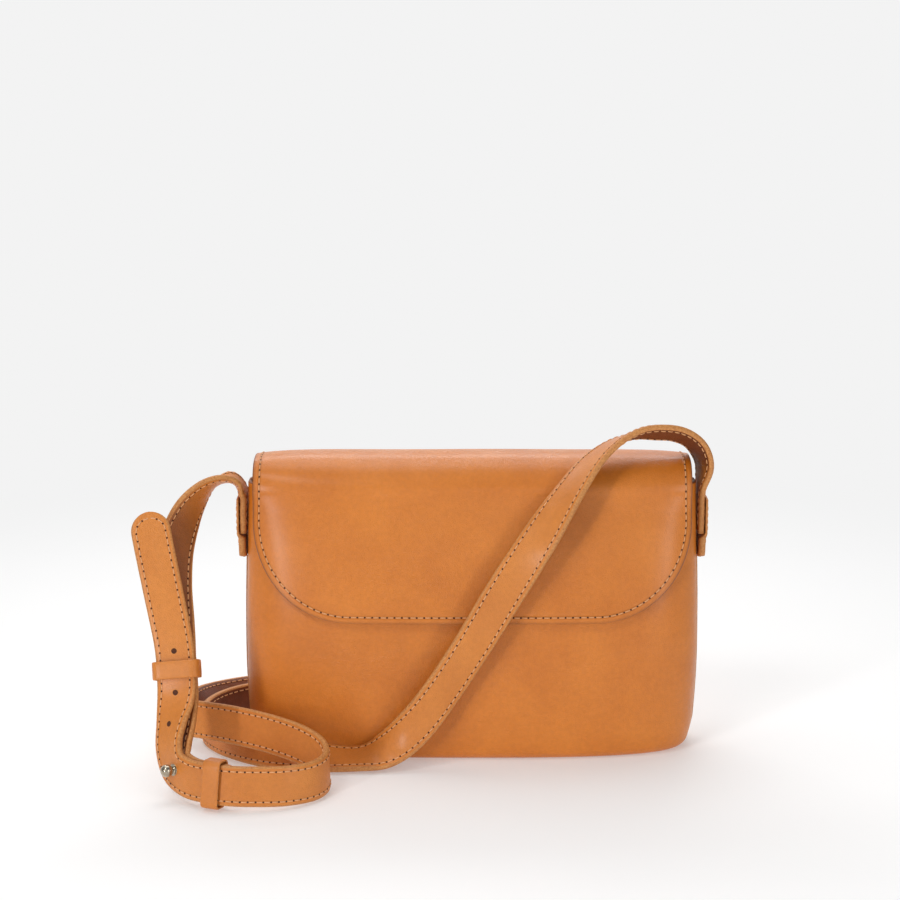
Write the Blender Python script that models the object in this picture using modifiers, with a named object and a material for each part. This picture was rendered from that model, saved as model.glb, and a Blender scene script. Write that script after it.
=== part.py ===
"""A small leather sling bag: a soft body with a hinged front flap, and a shoulder strap in two lengths that
buckle together on a ball stud.

Metres, +Z up. X runs across the bag, -Y is its front, and the origin is the middle of the footprint that the
bag stands on. The strap lies where a resting strap falls: over the right shoulder of the bag, diagonally down
the front, round behind the left corner and back into a loose coil in front of it.
"""

import math

import bmesh
import bpy
from mathutils import Matrix, Vector

# ---- Driving dimensions -------------------------------------------------------------------------------------
GAP = 0.0003                # clearance between pieces that touch on the real bag
LEATHER = 0.0020            # body leather
LINING = 0.0010
SEAM_HALF = 0.0008          # half of the slot between the front and back panels at each side seam
WELT_THICKNESS = 0.0010
CORNER_POWER = 3.5          # plan outline: a superellipse of this power
BASE_POWER = 2.9            # the same at the base, where the corners are rounder
BASE_BLEND = 0.060
ROLL = 0.006                # radius where the panels turn under at the base
BASE_MARGIN = 0.0006        # from the panels' lower edges to the base panel
BOARD_MARGIN = 0.0010       # from the base panel's edge to the stiffener's
BOARD_THICKNESS = 0.0018
LINING_FLOOR = LEATHER + GAP + BOARD_THICKNESS + GAP
LINING_INSET = LEATHER + 0.0016
LINING_TOP = 0.147
LINING_ROLL = 0.0052
POCKET_BOTTOM = 0.050
POCKET_TOP = 0.128
POCKET_HALF_WIDTH = 0.070
POCKET_STANDOFF = 0.0035    # from the lining's wall to the pocket's outer face
WELT_BOTTOM = 0.0045
WELT_PROUD = 0.0012         # how far a welt stands out of its seam

# Height, half width and half depth of the body's outer surface.
BODY_PROFILE = (
    (0.000, 0.1205, 0.0345),
    (0.015, 0.1235, 0.0360),
    (0.045, 0.1250, 0.0365),
    (0.080, 0.1248, 0.0345),
    (0.115, 0.1238, 0.0290),
    (0.150, 0.1232, 0.0195),
    (0.160, 0.1232, 0.0170),
)
FRONT_TOP = 0.150
BACK_TOP = 0.150

FLAP_HALF_WIDTH = 0.1190
FLAP_CORNER = 0.052         # radius of the two lower corners
FLAP_BOTTOM = 0.0785
FLAP_LEATHER = 0.0017
FLAP_LINING = 0.0012
FLAP_CLEARANCE = 0.0046     # from the body to the flap's outer face
FLAP_DROOP = 0.0022         # how much lower the flap's crown is at its two ends
FLAP_START_Y = 0.0160       # where the flap's seat begins, at the top of the back
FLAP_START_Z = 0.1580
FLAP_CORNER_WIDTH = 0.1262  # half width at which the flap's rounding round the body's corners would close
FLAP_LINING_TRIM = 0.0008   # how far the flap's lining stays inside its outer leather
ROOT_TOP = 0.1555
ROOT_BOTTOM = 0.134
ROOT_HALF_WIDTH = 0.112
ROOT_THICKNESS = 0.0016
ROOT_STANDOFF = 0.0022      # from the back panel to the strip's outer face

MAGNET_Z = 0.095
MAGNET_RADIUS = 0.0080
MAGNET_THICKNESS = 0.0014
PLATE_THICKNESS = 0.0007

STRAP_WIDTH = 0.021
STRAP_THICKNESS = 0.0034
STRAP_STEP = 0.0045         # spacing of the rings along a strap
TAB_TOP = 0.141
TAB_BOTTOM = 0.108
TAB_THICKNESS = 0.0014
STRAP_FOOT = 0.1220         # height of each strap's sewn end
STRAP_SEAT_X = 0.1259       # centre of a strap's thickness where it is sewn to the side

KEEPER_LENGTH = 0.0095
KEEPER_WALL = 0.0012
KEEPER_ROOM = 0.0018        # spare width and height inside a keeper, where the straps bend
STUD_RADIUS = 0.0033
POST_RADIUS = 0.0018
STUD_NECK = 0.0008          # from the strap's face to the underside of the ball
SCREW_RADIUS = 0.0040
SCREW_HEAD = 0.0010
STUD_SPACE = 0.0013         # room for the bend behind the stud
STUD_HOLE_MARGIN = 0.0005   # how much wider the stud's hole is than its post

# Route of the long strap's centre line, with the direction across it (from its lower to its upper edge).
LONG_ROUTE = (
    ((0.1259, 0.0000, 0.1220), (0.00, 1.00, 0.00)),
    ((0.1259, 0.0000, 0.1340), (0.00, 1.00, 0.00)),
    ((0.1260, -0.0002, 0.1460), (-0.02, 1.00, 0.00)),
    ((0.1268, -0.0035, 0.1600), (-0.30, 0.95, -0.06)),
    ((0.1218, -0.0080, 0.1710), (-0.38, 0.90, -0.20)),
    ((0.1125, -0.0125, 0.1775), (-0.32, 0.86, -0.38)),
    ((0.1015, -0.0160, 0.1797), (-0.22, 0.86, -0.46)),
    ((0.0890, -0.0185, 0.1795), (-0.12, 0.93, -0.36)),
    ((0.0760, -0.0230, 0.1750), (-0.14, 0.98, -0.12)),
    ((0.0630, -0.0285, 0.1650), (-0.26, 0.95, 0.12)),
    ((0.0500, -0.0375, 0.1490), (-0.46, 0.82, 0.28)),
    ((0.0350, -0.0450, 0.1270), (-0.70, 0.50, 0.44)),
    ((0.0160, -0.0480, 0.0970), (-0.84, 0.12, 0.50)),
    ((0.0000, -0.0485, 0.0700), (-0.84, -0.12, 0.52)),
    ((-0.0160, -0.0490, 0.0450), (-0.78, -0.16, 0.60)),
    ((-0.0300, -0.0490, 0.0260), (-0.66, 0.10, 0.72)),
    ((-0.0440, -0.0480, 0.0125), (-0.40, 0.58, 0.68)),
    ((-0.0600, -0.0468, 0.0058), (-0.10, 0.94, 0.28)),
    ((-0.0800, -0.0470, 0.0060), (0.04, 0.90, 0.38)),
    ((-0.1000, -0.0465, 0.0086), (0.12, 0.72, 0.66)),
    ((-0.1200, -0.0390, 0.0104), (0.14, 0.40, 0.90)),
    ((-0.1390, -0.0245, 0.0109), (0.06, 0.10, 1.00)),
    ((-0.1500, -0.0050, 0.0108), (0.00, 0.00, 1.00)),
    ((-0.1475, 0.0150, 0.0108), (0.00, 0.00, 1.00)),
    ((-0.1360, 0.0320, 0.0108), (0.00, 0.00, 1.00)),
    ((-0.1180, 0.0430, 0.0108), (0.00, 0.00, 1.00)),
    ((-0.0950, 0.0475, 0.0108), (0.00, 0.00, 1.00)),
    ((-0.0720, 0.0485, 0.0108), (0.00, 0.00, 1.00)),
    ((-0.0580, 0.0505, 0.0108), (0.00, 0.00, 1.00)),
    ((-0.0530, 0.0565, 0.0108), (0.00, 0.00, 1.00)),
    ((-0.0580, 0.0625, 0.0110), (0.00, 0.05, 1.00)),
    ((-0.0720, 0.0650, 0.0112), (0.00, 0.25, 0.96)),
    ((-0.0970, 0.0665, 0.0097), (0.00, 0.60, 0.80)),
    ((-0.1240, 0.0620, 0.0090), (-0.20, 0.68, 0.70)),
    ((-0.1460, 0.0460, 0.0098), (-0.42, 0.45, 0.78)),
    ((-0.1590, 0.0200, 0.0125), (-0.22, 0.05, 0.97)),
    ((-0.1620, -0.0050, 0.0170), (-0.04, 0.00, 1.00)),
    ((-0.1565, -0.0240, 0.0210), (0.00, 0.04, 1.00)),
    ((-0.1450, -0.0350, 0.0230), (0.02, 0.12, 1.00)),
    ((-0.1280, -0.0450, 0.0235), (0.05, 0.20, 1.00)),
    ((-0.1080, -0.0560, 0.0225), (0.05, 0.22, 1.00)),
    ((-0.0910, -0.0650, 0.0195), (0.02, 0.16, 1.00)),
    ((-0.0800, -0.0740, 0.0155), (0.00, 0.04, 1.00)),
    ((-0.0770, -0.0850, 0.0125), (-0.04, 0.02, 1.00)),
    ((-0.0830, -0.0970, 0.0114), (-0.06, 0.10, 1.00)),
    ((-0.0970, -0.1060, 0.0119), (0.00, 0.16, 1.00)),
    ((-0.1150, -0.1100, 0.0130), (0.00, 0.16, 1.00)),
    ((-0.1270, -0.1098, 0.0135), (0.00, 0.16, 1.00)),
    ((-0.1380, -0.1065, 0.0138), (0.04, 0.12, 1.00)),
    ((-0.1480, -0.1000, 0.0142), (0.22, -0.04, 0.97)),
    ((-0.1560, -0.0915, 0.0175), (0.46, -0.34, 0.80)),
    ((-0.1590, -0.0840, 0.0265), (0.66, -0.50, 0.54)),
    ((-0.1580, -0.0775, 0.0380), (0.80, -0.50, 0.28)),
    ((-0.1562, -0.0722, 0.0495), (0.96, -0.24, 0.04)),
    ((-0.1567, -0.0675, 0.0620), (0.99, -0.12, 0.02)),
    ((-0.1583, -0.0628, 0.0760), (0.99, -0.04, 0.08)),
    ((-0.1635, -0.0570, 0.1000), (0.98, 0.05, 0.18)),
    ((-0.1690, -0.0510, 0.1250), (0.97, 0.10, 0.18)),
    ((-0.1725, -0.0465, 0.1425), (0.97, 0.12, 0.16)),
)
# Places along the long strap, as points of its route counted from the sewn end.
KEEPER_LOWER_POINT = 47.6
STUD_POINT = 49.75
KEEPER_UPPER_POINT = 54.0
SHORT_STUB_POINT = 46.2     # where the short strap's rounded end lies behind the long one
SHORT_JOIN_POINT = 54.6     # where the short strap parts from the back of the long one

BULGE_POINT = 51.6          # the bend where the two straps stand furthest apart
BULGE_REACH = 2.3
BULGE = 0.0030

# Route of the short strap from its sewn end to the point where it lies behind the long strap.
SHORT_ROUTE = (
    ((-0.1259, 0.0000, 0.1220), (0.00, -1.00, 0.00)),
    ((-0.1259, 0.0000, 0.1340), (0.00, -1.00, 0.00)),
    ((-0.1261, -0.0003, 0.1430), (0.00, -1.00, 0.00)),
    ((-0.1310, -0.0040, 0.1505), (-0.10, -0.98, 0.10)),
    ((-0.1390, -0.0100, 0.1510), (-0.25, -0.90, 0.10)),
    ((-0.1470, -0.0175, 0.1460), (-0.42, -0.85, 0.05)),
    ((-0.1545, -0.0270, 0.1360), (-0.60, -0.75, 0.05)),
    ((-0.1592, -0.0375, 0.1210), (-0.78, -0.58, 0.00)),
    ((-0.1600, -0.0470, 0.1030), (-0.90, -0.38, 0.00)),
    ((-0.1585, -0.0545, 0.0850), (-0.97, -0.20, 0.00)),
)

COLOURS = {
    "leather": (0.600, 0.245, 0.060),
    "strap": (0.580, 0.240, 0.065),
    "lining": (0.430, 0.200, 0.090),
    "board": (0.120, 0.085, 0.060),
    "metal": (0.420, 0.370, 0.290),
}


# ---- Materials and collections ------------------------------------------------------------------------------
def make_material(name, colour, roughness, metallic=0.0):
    material = bpy.data.materials.new(name)
    material.use_nodes = True
    shader = material.node_tree.nodes["Principled BSDF"]
    shader.inputs["Base Color"].default_value = (*colour, 1.0)
    shader.inputs["Roughness"].default_value = roughness
    shader.inputs["Metallic"].default_value = metallic
    return material


def make_collection(name):
    collection = bpy.data.collections.new(name)
    bpy.context.scene.collection.children.link(collection)
    return collection


def make_object(name, bm, material, collection):
    bmesh.ops.recalc_face_normals(bm, faces=bm.faces)
    mesh = bpy.data.meshes.new(name)
    bm.to_mesh(mesh)
    bm.free()
    obj = bpy.data.objects.new(name, mesh)
    if material is not None:
        mesh.materials.append(material)
    collection.objects.link(obj)
    mesh.shade_smooth()
    mesh.set_sharp_from_angle(angle=math.radians(40))
    return obj


def add_solidify(obj, thickness, inward=True):
    modifier = obj.modifiers.new("Thickness", "SOLIDIFY")
    modifier.thickness = thickness
    modifier.offset = -1.0 if inward else 1.0
    modifier.use_even_offset = True
    return modifier


def add_cut(obj, cutter):
    modifier = obj.modifiers.new("Cut " + cutter.name, "BOOLEAN")
    modifier.operation = "DIFFERENCE"
    modifier.object = cutter


def hide_helper(obj):
    obj.hide_render = True
    obj.display_type = "WIRE"


# ---- Smooth curves ------------------------------------------------------------------------------------------
def mix(a, b, t):
    return a + (b - a) * t


def catmull(points, at):
    """The smooth curve through the points, at a place counted in points."""
    last = len(points) - 1
    at = min(max(at, 0.0), last)
    i = min(int(at), last - 1)
    t = at - i
    p0 = points[max(i - 1, 0)]
    p1 = points[i]
    p2 = points[i + 1]
    p3 = points[min(i + 2, last)]
    return 0.5 * (
        2.0 * p1
        + (p2 - p0) * t
        + (2.0 * p0 - 5.0 * p1 + 4.0 * p2 - p3) * t * t
        + (3.0 * p1 - p0 - 3.0 * p2 + p3) * t ** 3
    )


def body_size(z):
    """Half width and half depth of the body's outer surface at a height."""
    heights = [row[0] for row in BODY_PROFILE]
    z = min(max(z, heights[0]), heights[-1])
    i = max(k for k in range(len(heights) - 1) if heights[k] <= z)
    t = (z - heights[i]) / (heights[i + 1] - heights[i])
    points = [Vector(row[1:]) for row in BODY_PROFILE]
    size = catmull(points, i + t)
    return size[0], size[1]


def corner_power(z):
    return mix(BASE_POWER, CORNER_POWER, min(z / BASE_BLEND, 1.0))


def outline_point(angle, half_width, half_depth, z=0.0):
    power = 2.0 / corner_power(z)
    c, s = math.cos(angle), math.sin(angle)
    return (
        math.copysign(abs(c) ** power, c) * half_width,
        math.copysign(abs(s) ** power, s) * half_depth,
    )


# ---- Body ---------------------------------------------------------------------------------------------------
def grid_to_bmesh(rows, closed=False):
    bm = bmesh.new()
    grid = [[bm.verts.new(point) for point in row] for row in rows]
    count = len(rows[0])
    for lower, upper in zip(grid, grid[1:]):
        for i in range(count if closed else count - 1):
            j = (i + 1) % count
            bm.faces.new((lower[i], lower[j], upper[j], upper[i]))
    return bm, grid


def body_levels(top, roll_steps=4, wall_steps=9):
    """(height, inset) pairs from the edge of the base, round its roll and up the wall."""
    levels = []
    for k in range(roll_steps):
        angle = math.radians(90.0 * k / roll_steps)
        levels.append((ROLL * (1 - math.cos(angle)), ROLL * (1 - math.sin(angle))))
    for k in range(wall_steps + 1):
        levels.append((mix(ROLL, top, k / wall_steps), 0.0))
    return levels


def make_panel(name, side, top, material, collection):
    """The front (side -1) or back (side +1) panel, from side seam to side seam and under the base's edge."""
    segments = 36
    rows = []
    for z, inset in body_levels(top):
        half_width, half_depth = body_size(z)
        row = []
        for k in range(segments + 1):
            angle = side * math.pi * k / segments
            x, y = outline_point(angle, half_width - inset, half_depth - inset, z)
            row.append((x, y + side * SEAM_HALF, z))
        rows.append(row)
    bm, _ = grid_to_bmesh(rows)
    panel = make_object(name, bm, material, collection)
    # The rows run the other way round at the back, so each panel's normals are set by its own side.
    mesh = panel.data
    middle = mesh.polygons[len(mesh.polygons) // 2]
    if middle.normal.y * side < 0:
        mesh.flip_normals()
    add_solidify(panel, LEATHER)
    return panel


def flat_outline(half_width, half_depth, segments=56):
    return [outline_point(math.tau * (k + 0.5) / segments, half_width, half_depth) for k in range(segments)]


def make_plate(name, outline, bottom, top, material, collection):
    bm = bmesh.new()
    face = bm.faces.new([bm.verts.new((x, y, bottom)) for x, y in outline])
    raised = bmesh.ops.extrude_face_region(bm, geom=[face])
    bmesh.ops.translate(
        bm, vec=(0, 0, top - bottom), verts=[v for v in raised["geom"] if isinstance(v, bmesh.types.BMVert)]
    )
    return make_object(name, bm, material, collection)


def make_base(leather, board, collection):
    half_width, half_depth = body_size(0.0)
    inset = ROLL + BASE_MARGIN
    outline = flat_outline(half_width - inset, half_depth - inset)
    make_plate("base_panel", outline, 0.0, LEATHER, leather, collection)
    inset += BOARD_MARGIN
    outline = flat_outline(half_width - inset, half_depth - inset)
    bottom = LEATHER + GAP
    make_plate("base_stiffener", outline, bottom, bottom + BOARD_THICKNESS, board, collection)


def make_lining(material, collection):
    segments = 48
    levels = []
    for k in range(4):
        angle = math.radians(90.0 * k / 3)
        height = LINING_FLOOR + LINING_ROLL * (1 - math.cos(angle))
        levels.append((height, LINING_INSET + LINING_ROLL * (1 - math.sin(angle))))
    start = LINING_FLOOR + LINING_ROLL
    for k in range(1, 9):
        levels.append((mix(start, LINING_TOP, k / 8), LINING_INSET))
    rows = []
    for z, inset in levels:
        half_width, half_depth = body_size(z)
        rows.append(
            [
                (*outline_point(math.tau * k / segments, half_width - inset, half_depth - inset, z), z)
                for k in range(segments)
            ]
        )
    bm, grid = grid_to_bmesh(rows, closed=True)
    bm.faces.new(grid[0])
    lining = make_object("lining", bm, material, collection)
    if lining.data.polygons[-1].normal.z > 0:
        lining.data.flip_normals()
    add_solidify(lining, LINING)
    return lining


def make_pocket(material, collection):
    """A slip pocket: a sheet that stands just off the lining's back wall and follows its lean."""
    rows = []
    for k in range(9):
        z = mix(POCKET_BOTTOM, POCKET_TOP, k / 8)
        y = body_size(z)[1] - LINING_INSET - LINING - POCKET_STANDOFF
        rows.append([(mix(-POCKET_HALF_WIDTH, POCKET_HALF_WIDTH, i / 3), y, z) for i in range(4)])
    bm, _ = grid_to_bmesh(rows)
    pocket = make_object("inner_pocket", bm, material, collection)
    add_solidify(pocket, LINING, inward=False)
    return pocket


def make_welt(name, side, material, collection):
    """The seam allowance that shows as a narrow edge down each side."""
    bm = bmesh.new()
    levels = [mix(WELT_BOTTOM, TAB_BOTTOM - 2 * GAP, k / 10) for k in range(11)]
    half = WELT_THICKNESS / 2
    rings = []
    for z in levels:
        half_width, _ = body_size(z)
        inset = ROLL - math.sqrt(max(ROLL ** 2 - (ROLL - min(z, ROLL)) ** 2, 0.0))
        outer = half_width - inset + WELT_PROUD
        inner = half_width - inset - LEATHER * 0.8
        corners = ((inner, -half), (outer, -half), (outer, half), (inner, half))
        rings.append([bm.verts.new((side * x, y, z)) for x, y in corners])
    bridge_rings(bm, rings)
    return make_object(name, bm, material, collection)


def bridge_rings(bm, rings):
    count = len(rings[0])
    for lower, upper in zip(rings, rings[1:]):
        for i in range(count):
            j = (i + 1) % count
            bm.faces.new((lower[i], lower[j], upper[j], upper[i]))
    bm.faces.new(rings[0][::-1])
    bm.faces.new(rings[-1])


# ---- Flap ---------------------------------------------------------------------------------------------------
def flap_profile():
    """The flap's side view along its middle: (y, z, bend) from the hinge, over the top and down the front.

    bend says how far the edge of the flap follows the rounded corner of the body: 0 on top, 1 on the front.
    """
    crown = [
        (FLAP_START_Y, FLAP_START_Z, 0.0),
        (0.0120, 0.1603, 0.0),
        (0.0060, 0.1615, 0.05),
        (-0.0010, 0.1616, 0.1),
        (-0.0090, 0.1600, 0.25),
        (-0.0155, 0.1560, 0.5),
    ]
    front = []
    steps = 16
    for k in range(steps + 1):
        z = mix(0.1500, FLAP_BOTTOM, k / steps)
        front.append((-body_size(z)[1] - SEAM_HALF, z, min(1.0, 0.75 + k / 12)))
    return crown + front


def flap_half_width(z):
    drop = FLAP_BOTTOM + FLAP_CORNER - z
    if drop <= 0.0:
        return FLAP_HALF_WIDTH
    drop = min(drop, FLAP_CORNER)
    return FLAP_HALF_WIDTH - FLAP_CORNER + math.sqrt(FLAP_CORNER ** 2 - drop ** 2)


def flap_levels():
    """The flap's side view, with closer points where its lower corners turn."""
    profile = [Vector(row) for row in flap_profile()]
    last = len(profile) - 1
    corner_start = 11.0
    places = [k * 0.75 for k in range(int(corner_start / 0.75) + 1)]
    turns = 12
    for k in range(1, turns + 1):
        places.append(mix(corner_start, last, math.sin(math.radians(90.0 * k / turns))))
    return [catmull(profile, place) for place in places]


def flap_surface(distance, trim=0.0):
    """Rows of points at a distance outside the flap's seat, each row from the left edge to the right."""
    columns = 24
    levels = flap_levels()
    rows = []
    for i, (y, z, bend) in enumerate(levels):
        before = levels[max(i - 1, 0)]
        after = levels[min(i + 1, len(levels) - 1)]
        dy, dz = after[0] - before[0], after[1] - before[1]
        length = math.hypot(dy, dz)
        normal_y, normal_z = dz / length, -dy / length
        half = flap_half_width(z) - trim
        row = []
        for k in range(columns + 1):
            x = half * math.sin(math.radians(mix(-90.0, 90.0, k / columns)))
            ease = (1.0 - (abs(x) / FLAP_CORNER_WIDTH) ** CORNER_POWER) ** (1.0 / CORNER_POWER)
            pull = mix(1.0, ease, bend) if y < 0.0 else 1.0
            droop = FLAP_DROOP * (1.0 - bend) * (abs(x) / half) ** 8
            row.append((x, y * pull + normal_y * distance, z + normal_z * distance - droop))
        rows.append(row)
    if trim > 0.0:
        rows = rows[:-1]
    return rows


def make_flap_sheet(name, distance, thickness, trim, material, collection):
    bm, _ = grid_to_bmesh(flap_surface(distance, trim))
    sheet = make_object(name, bm, material, collection)
    mesh = sheet.data
    lowest = min(mesh.polygons, key=lambda face: face.center.z)
    if lowest.normal.y > 0:
        mesh.flip_normals()
    add_solidify(sheet, thickness)
    return sheet


def make_flap_root(material, collection):
    """The strip by which the flap is sewn to the top of the back panel."""
    rows = []
    for k in range(6):
        z = mix(ROOT_BOTTOM, ROOT_TOP, k / 5)
        half_width, half_depth = body_size(z)
        row = []
        for i in range(25):
            x = ROOT_HALF_WIDTH * math.sin(math.radians(mix(-90.0, 90.0, i / 24)))
            ease = (1.0 - (abs(x) / half_width) ** CORNER_POWER) ** (1.0 / CORNER_POWER)
            lean = 0.0012 * max(0.0, (z - 0.150) / 0.005)
            row.append((x, half_depth * ease + SEAM_HALF + ROOT_STANDOFF - lean, z))
        rows.append(row)
    bm, _ = grid_to_bmesh(rows)
    root = make_object("flap_root_strip", bm, material, collection)
    if root.data.polygons[0].normal.y > 0:
        root.data.flip_normals()
    add_solidify(root, ROOT_THICKNESS)
    return root


# ---- Magnet -------------------------------------------------------------------------------------------------
def make_disc(name, radius, thickness, distance, material, collection):
    """A disc that lies along the front panel, its middle at a distance outside the panel's outer face."""
    slope = math.atan2(body_size(MAGNET_Z + 0.01)[1] - body_size(MAGNET_Z - 0.01)[1], 0.02)
    bm = bmesh.new()
    bmesh.ops.create_cone(bm, cap_ends=True, segments=24, radius1=radius, radius2=radius, depth=thickness)
    disc = make_object(name, bm, material, collection)
    disc.rotation_euler = (math.pi / 2 + slope, 0.0, 0.0)
    outward_y, outward_z = -math.cos(slope), -math.sin(slope)
    wall = -body_size(MAGNET_Z)[1] - SEAM_HALF
    disc.location = (0.0, wall + outward_y * distance, MAGNET_Z + outward_z * distance)
    modifier = disc.modifiers.new("Round edge", "BEVEL")
    modifier.width = thickness * 0.25
    modifier.segments = 2
    modifier.limit_method = "ANGLE"
    return disc


def make_magnet_closure(metal, collection):
    """A magnet between the front panel and its lining, and the thin steel plate on the flap that it holds."""
    behind = LEATHER + GAP + MAGNET_THICKNESS / 2
    make_disc("closure_magnet", MAGNET_RADIUS, MAGNET_THICKNESS, -behind, metal, collection)
    plate = FLAP_CLEARANCE - FLAP_LEATHER - FLAP_LINING - 2 * GAP - PLATE_THICKNESS / 2
    make_disc("flap_catch_plate", MAGNET_RADIUS, PLATE_THICKNESS, plate, metal, collection)


# ---- Straps -------------------------------------------------------------------------------------------------
class Ribbon:
    """A strap's centre line with the direction across it."""

    def __init__(self, route):
        self.points = [Vector(point) for point, _ in route]
        self.across = [Vector(across).normalized() for _, across in route]

    def place(self, at):
        """Centre, direction along, direction across and outward direction at a place counted in points."""
        centre = catmull(self.points, at)
        step = 0.02
        along = (catmull(self.points, at + step) - catmull(self.points, at - step)).normalized()
        across = catmull(self.across, at)
        across = (across - along * across.dot(along)).normalized()
        return centre, along, across, across.cross(along)

    def even_places(self, start, end, spacing):
        """Places from start to end whose centres lie a spacing apart."""
        fine = [mix(start, end, k / 4000) for k in range(4001)]
        total = [0.0]
        previous = catmull(self.points, fine[0])
        for at in fine[1:]:
            point = catmull(self.points, at)
            total.append(total[-1] + (point - previous).length)
            previous = point
        count = max(2, round(total[-1] / spacing))
        places = []
        k = 0
        for i in range(count + 1):
            goal = total[-1] * i / count
            while k < len(total) - 1 and total[k] < goal:
                k += 1
            places.append(fine[k])
        return places


def tip_taper(distance, width):
    """Share of the width left at a distance from a rounded end."""
    radius = width / 2
    if distance >= radius:
        return 1.0
    return max(math.sqrt(radius ** 2 - (radius - distance) ** 2) / radius, 0.12)


def loft_strap(name, frames, material, collection, round_end=False):
    """A flat strap through frames of (centre, across, outward)."""
    bm = bmesh.new()
    rings = []
    left = 0.0
    shares = []
    for (a, _, _), (b, _, _) in zip(frames[::-1], frames[::-1][1:]):
        shares.append(tip_taper(left, STRAP_WIDTH) if round_end else 1.0)
        left += (b - a).length
    shares.append(1.0)
    for (centre, across, outward), share in zip(frames, shares[::-1]):
        side = across * (STRAP_WIDTH / 2 * share)
        face = outward * (STRAP_THICKNESS / 2)
        corners = (-side - face, side - face, side + face, face - side)
        rings.append([bm.verts.new(centre + corner) for corner in corners])
    bridge_rings(bm, rings)
    return make_object(name, bm, material, collection)


def end_places(places, ribbon, spacing=0.0012, reach=0.011):
    """Adds closer places towards the rounded end."""
    last = places[-1]
    per_point = (catmull(ribbon.points, last) - catmull(ribbon.points, last - 0.2)).length / 0.2
    extra = [last - reach / per_point * (1 - math.sin(math.radians(90.0 * k / 7))) for k in range(8)]
    kept = [place for place in places if place < extra[0] - 0.5 * spacing / per_point]
    return kept + extra


def long_strap_frames(ribbon):
    places = ribbon.even_places(0.0, len(ribbon.points) - 1, STRAP_STEP)
    frames = []
    for at in end_places(places, ribbon):
        centre, _, across, outward = ribbon.place(at)
        frames.append((centre, across, outward))
    return frames


def short_strap_frames(ribbon):
    """The short strap: its own free arc, then behind the long strap down to its rounded stub."""
    shared = []
    places = ribbon.even_places(SHORT_STUB_POINT, SHORT_JOIN_POINT, STRAP_STEP * 0.6)
    for at in places[::-1]:
        centre, _, across, outward = ribbon.place(at)
        bulge = max(0.0, 1.0 - ((at - BULGE_POINT) / BULGE_REACH) ** 2) ** 2
        behind = STRAP_THICKNESS + GAP + BULGE * bulge
        shared.append((centre - outward * behind, -across))
    route = list(SHORT_ROUTE) + shared
    whole = Ribbon([(tuple(point), tuple(across)) for point, across in route])
    places = whole.even_places(0.0, len(route) - 1, STRAP_STEP)
    frames = []
    for at in end_places(places, whole):
        centre, _, across, outward = whole.place(at)
        frames.append((centre, across, outward))
    return frames


def frame_matrix(centre, across, along, outward):
    """A rotation and place with X across the strap, Y along it and Z out of its face."""
    matrix = Matrix.Identity(4)
    for column, axis in enumerate((across, along, outward)):
        for row in range(3):
            matrix[row][column] = axis[row]
    matrix.translation = centre
    return matrix


def make_box(name, size, matrix, material, collection):
    bm = bmesh.new()
    bmesh.ops.create_cube(bm, size=1.0)
    bmesh.ops.scale(bm, vec=size, verts=bm.verts)
    box = make_object(name, bm, material, collection)
    box.matrix_world = matrix
    return box


def make_keeper(name, ribbon, at, material, collection, cutters):
    """A leather loop round both straps."""
    centre, along, _, outward = ribbon.place(at)
    middle = centre - outward * ((STRAP_THICKNESS + GAP) / 2)
    matrix = frame_matrix(middle, outward.cross(along), along, outward)
    width = STRAP_WIDTH + KEEPER_ROOM
    height = 2 * STRAP_THICKNESS + GAP + KEEPER_ROOM
    outer = (width + 2 * KEEPER_WALL, KEEPER_LENGTH, height + 2 * KEEPER_WALL)
    inner = (width, KEEPER_LENGTH * 2, height)
    keeper = make_box(name, outer, matrix, material, collection)
    cutter = make_box(name + "_cutter", inner, matrix, None, cutters)
    hide_helper(cutter)
    add_cut(keeper, cutter)
    return keeper


def make_drill(name, ribbon, at, radius, collection):
    centre, along, across, outward = ribbon.place(at)
    bm = bmesh.new()
    bmesh.ops.create_cone(bm, cap_ends=True, segments=16, radius1=radius, radius2=radius, depth=0.020)
    drill = make_object(name, bm, None, collection)
    drill.matrix_world = frame_matrix(centre, across, along, outward)
    hide_helper(drill)
    return drill


def make_turned(name, profile, matrix, material, collection, segments=20):
    """A turned piece: (radius, height) pairs from the top of its outer side to the bottom."""
    bm = bmesh.new()
    verts = [bm.verts.new((radius, 0, height)) for radius, height in profile]
    for a, b in zip(verts, verts[1:]):
        bm.edges.new((a, b))
    mesh = bpy.data.meshes.new(name)
    bm.to_mesh(mesh)
    bm.free()
    obj = bpy.data.objects.new(name, mesh)
    mesh.materials.append(material)
    collection.objects.link(obj)
    obj.matrix_world = matrix
    screw = obj.modifiers.new("Turn", "SCREW")
    screw.steps = segments
    screw.render_steps = segments
    screw.use_merge_vertices = True
    screw.merge_threshold = 0.00005
    screw.use_smooth_shade = True
    return obj


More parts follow.
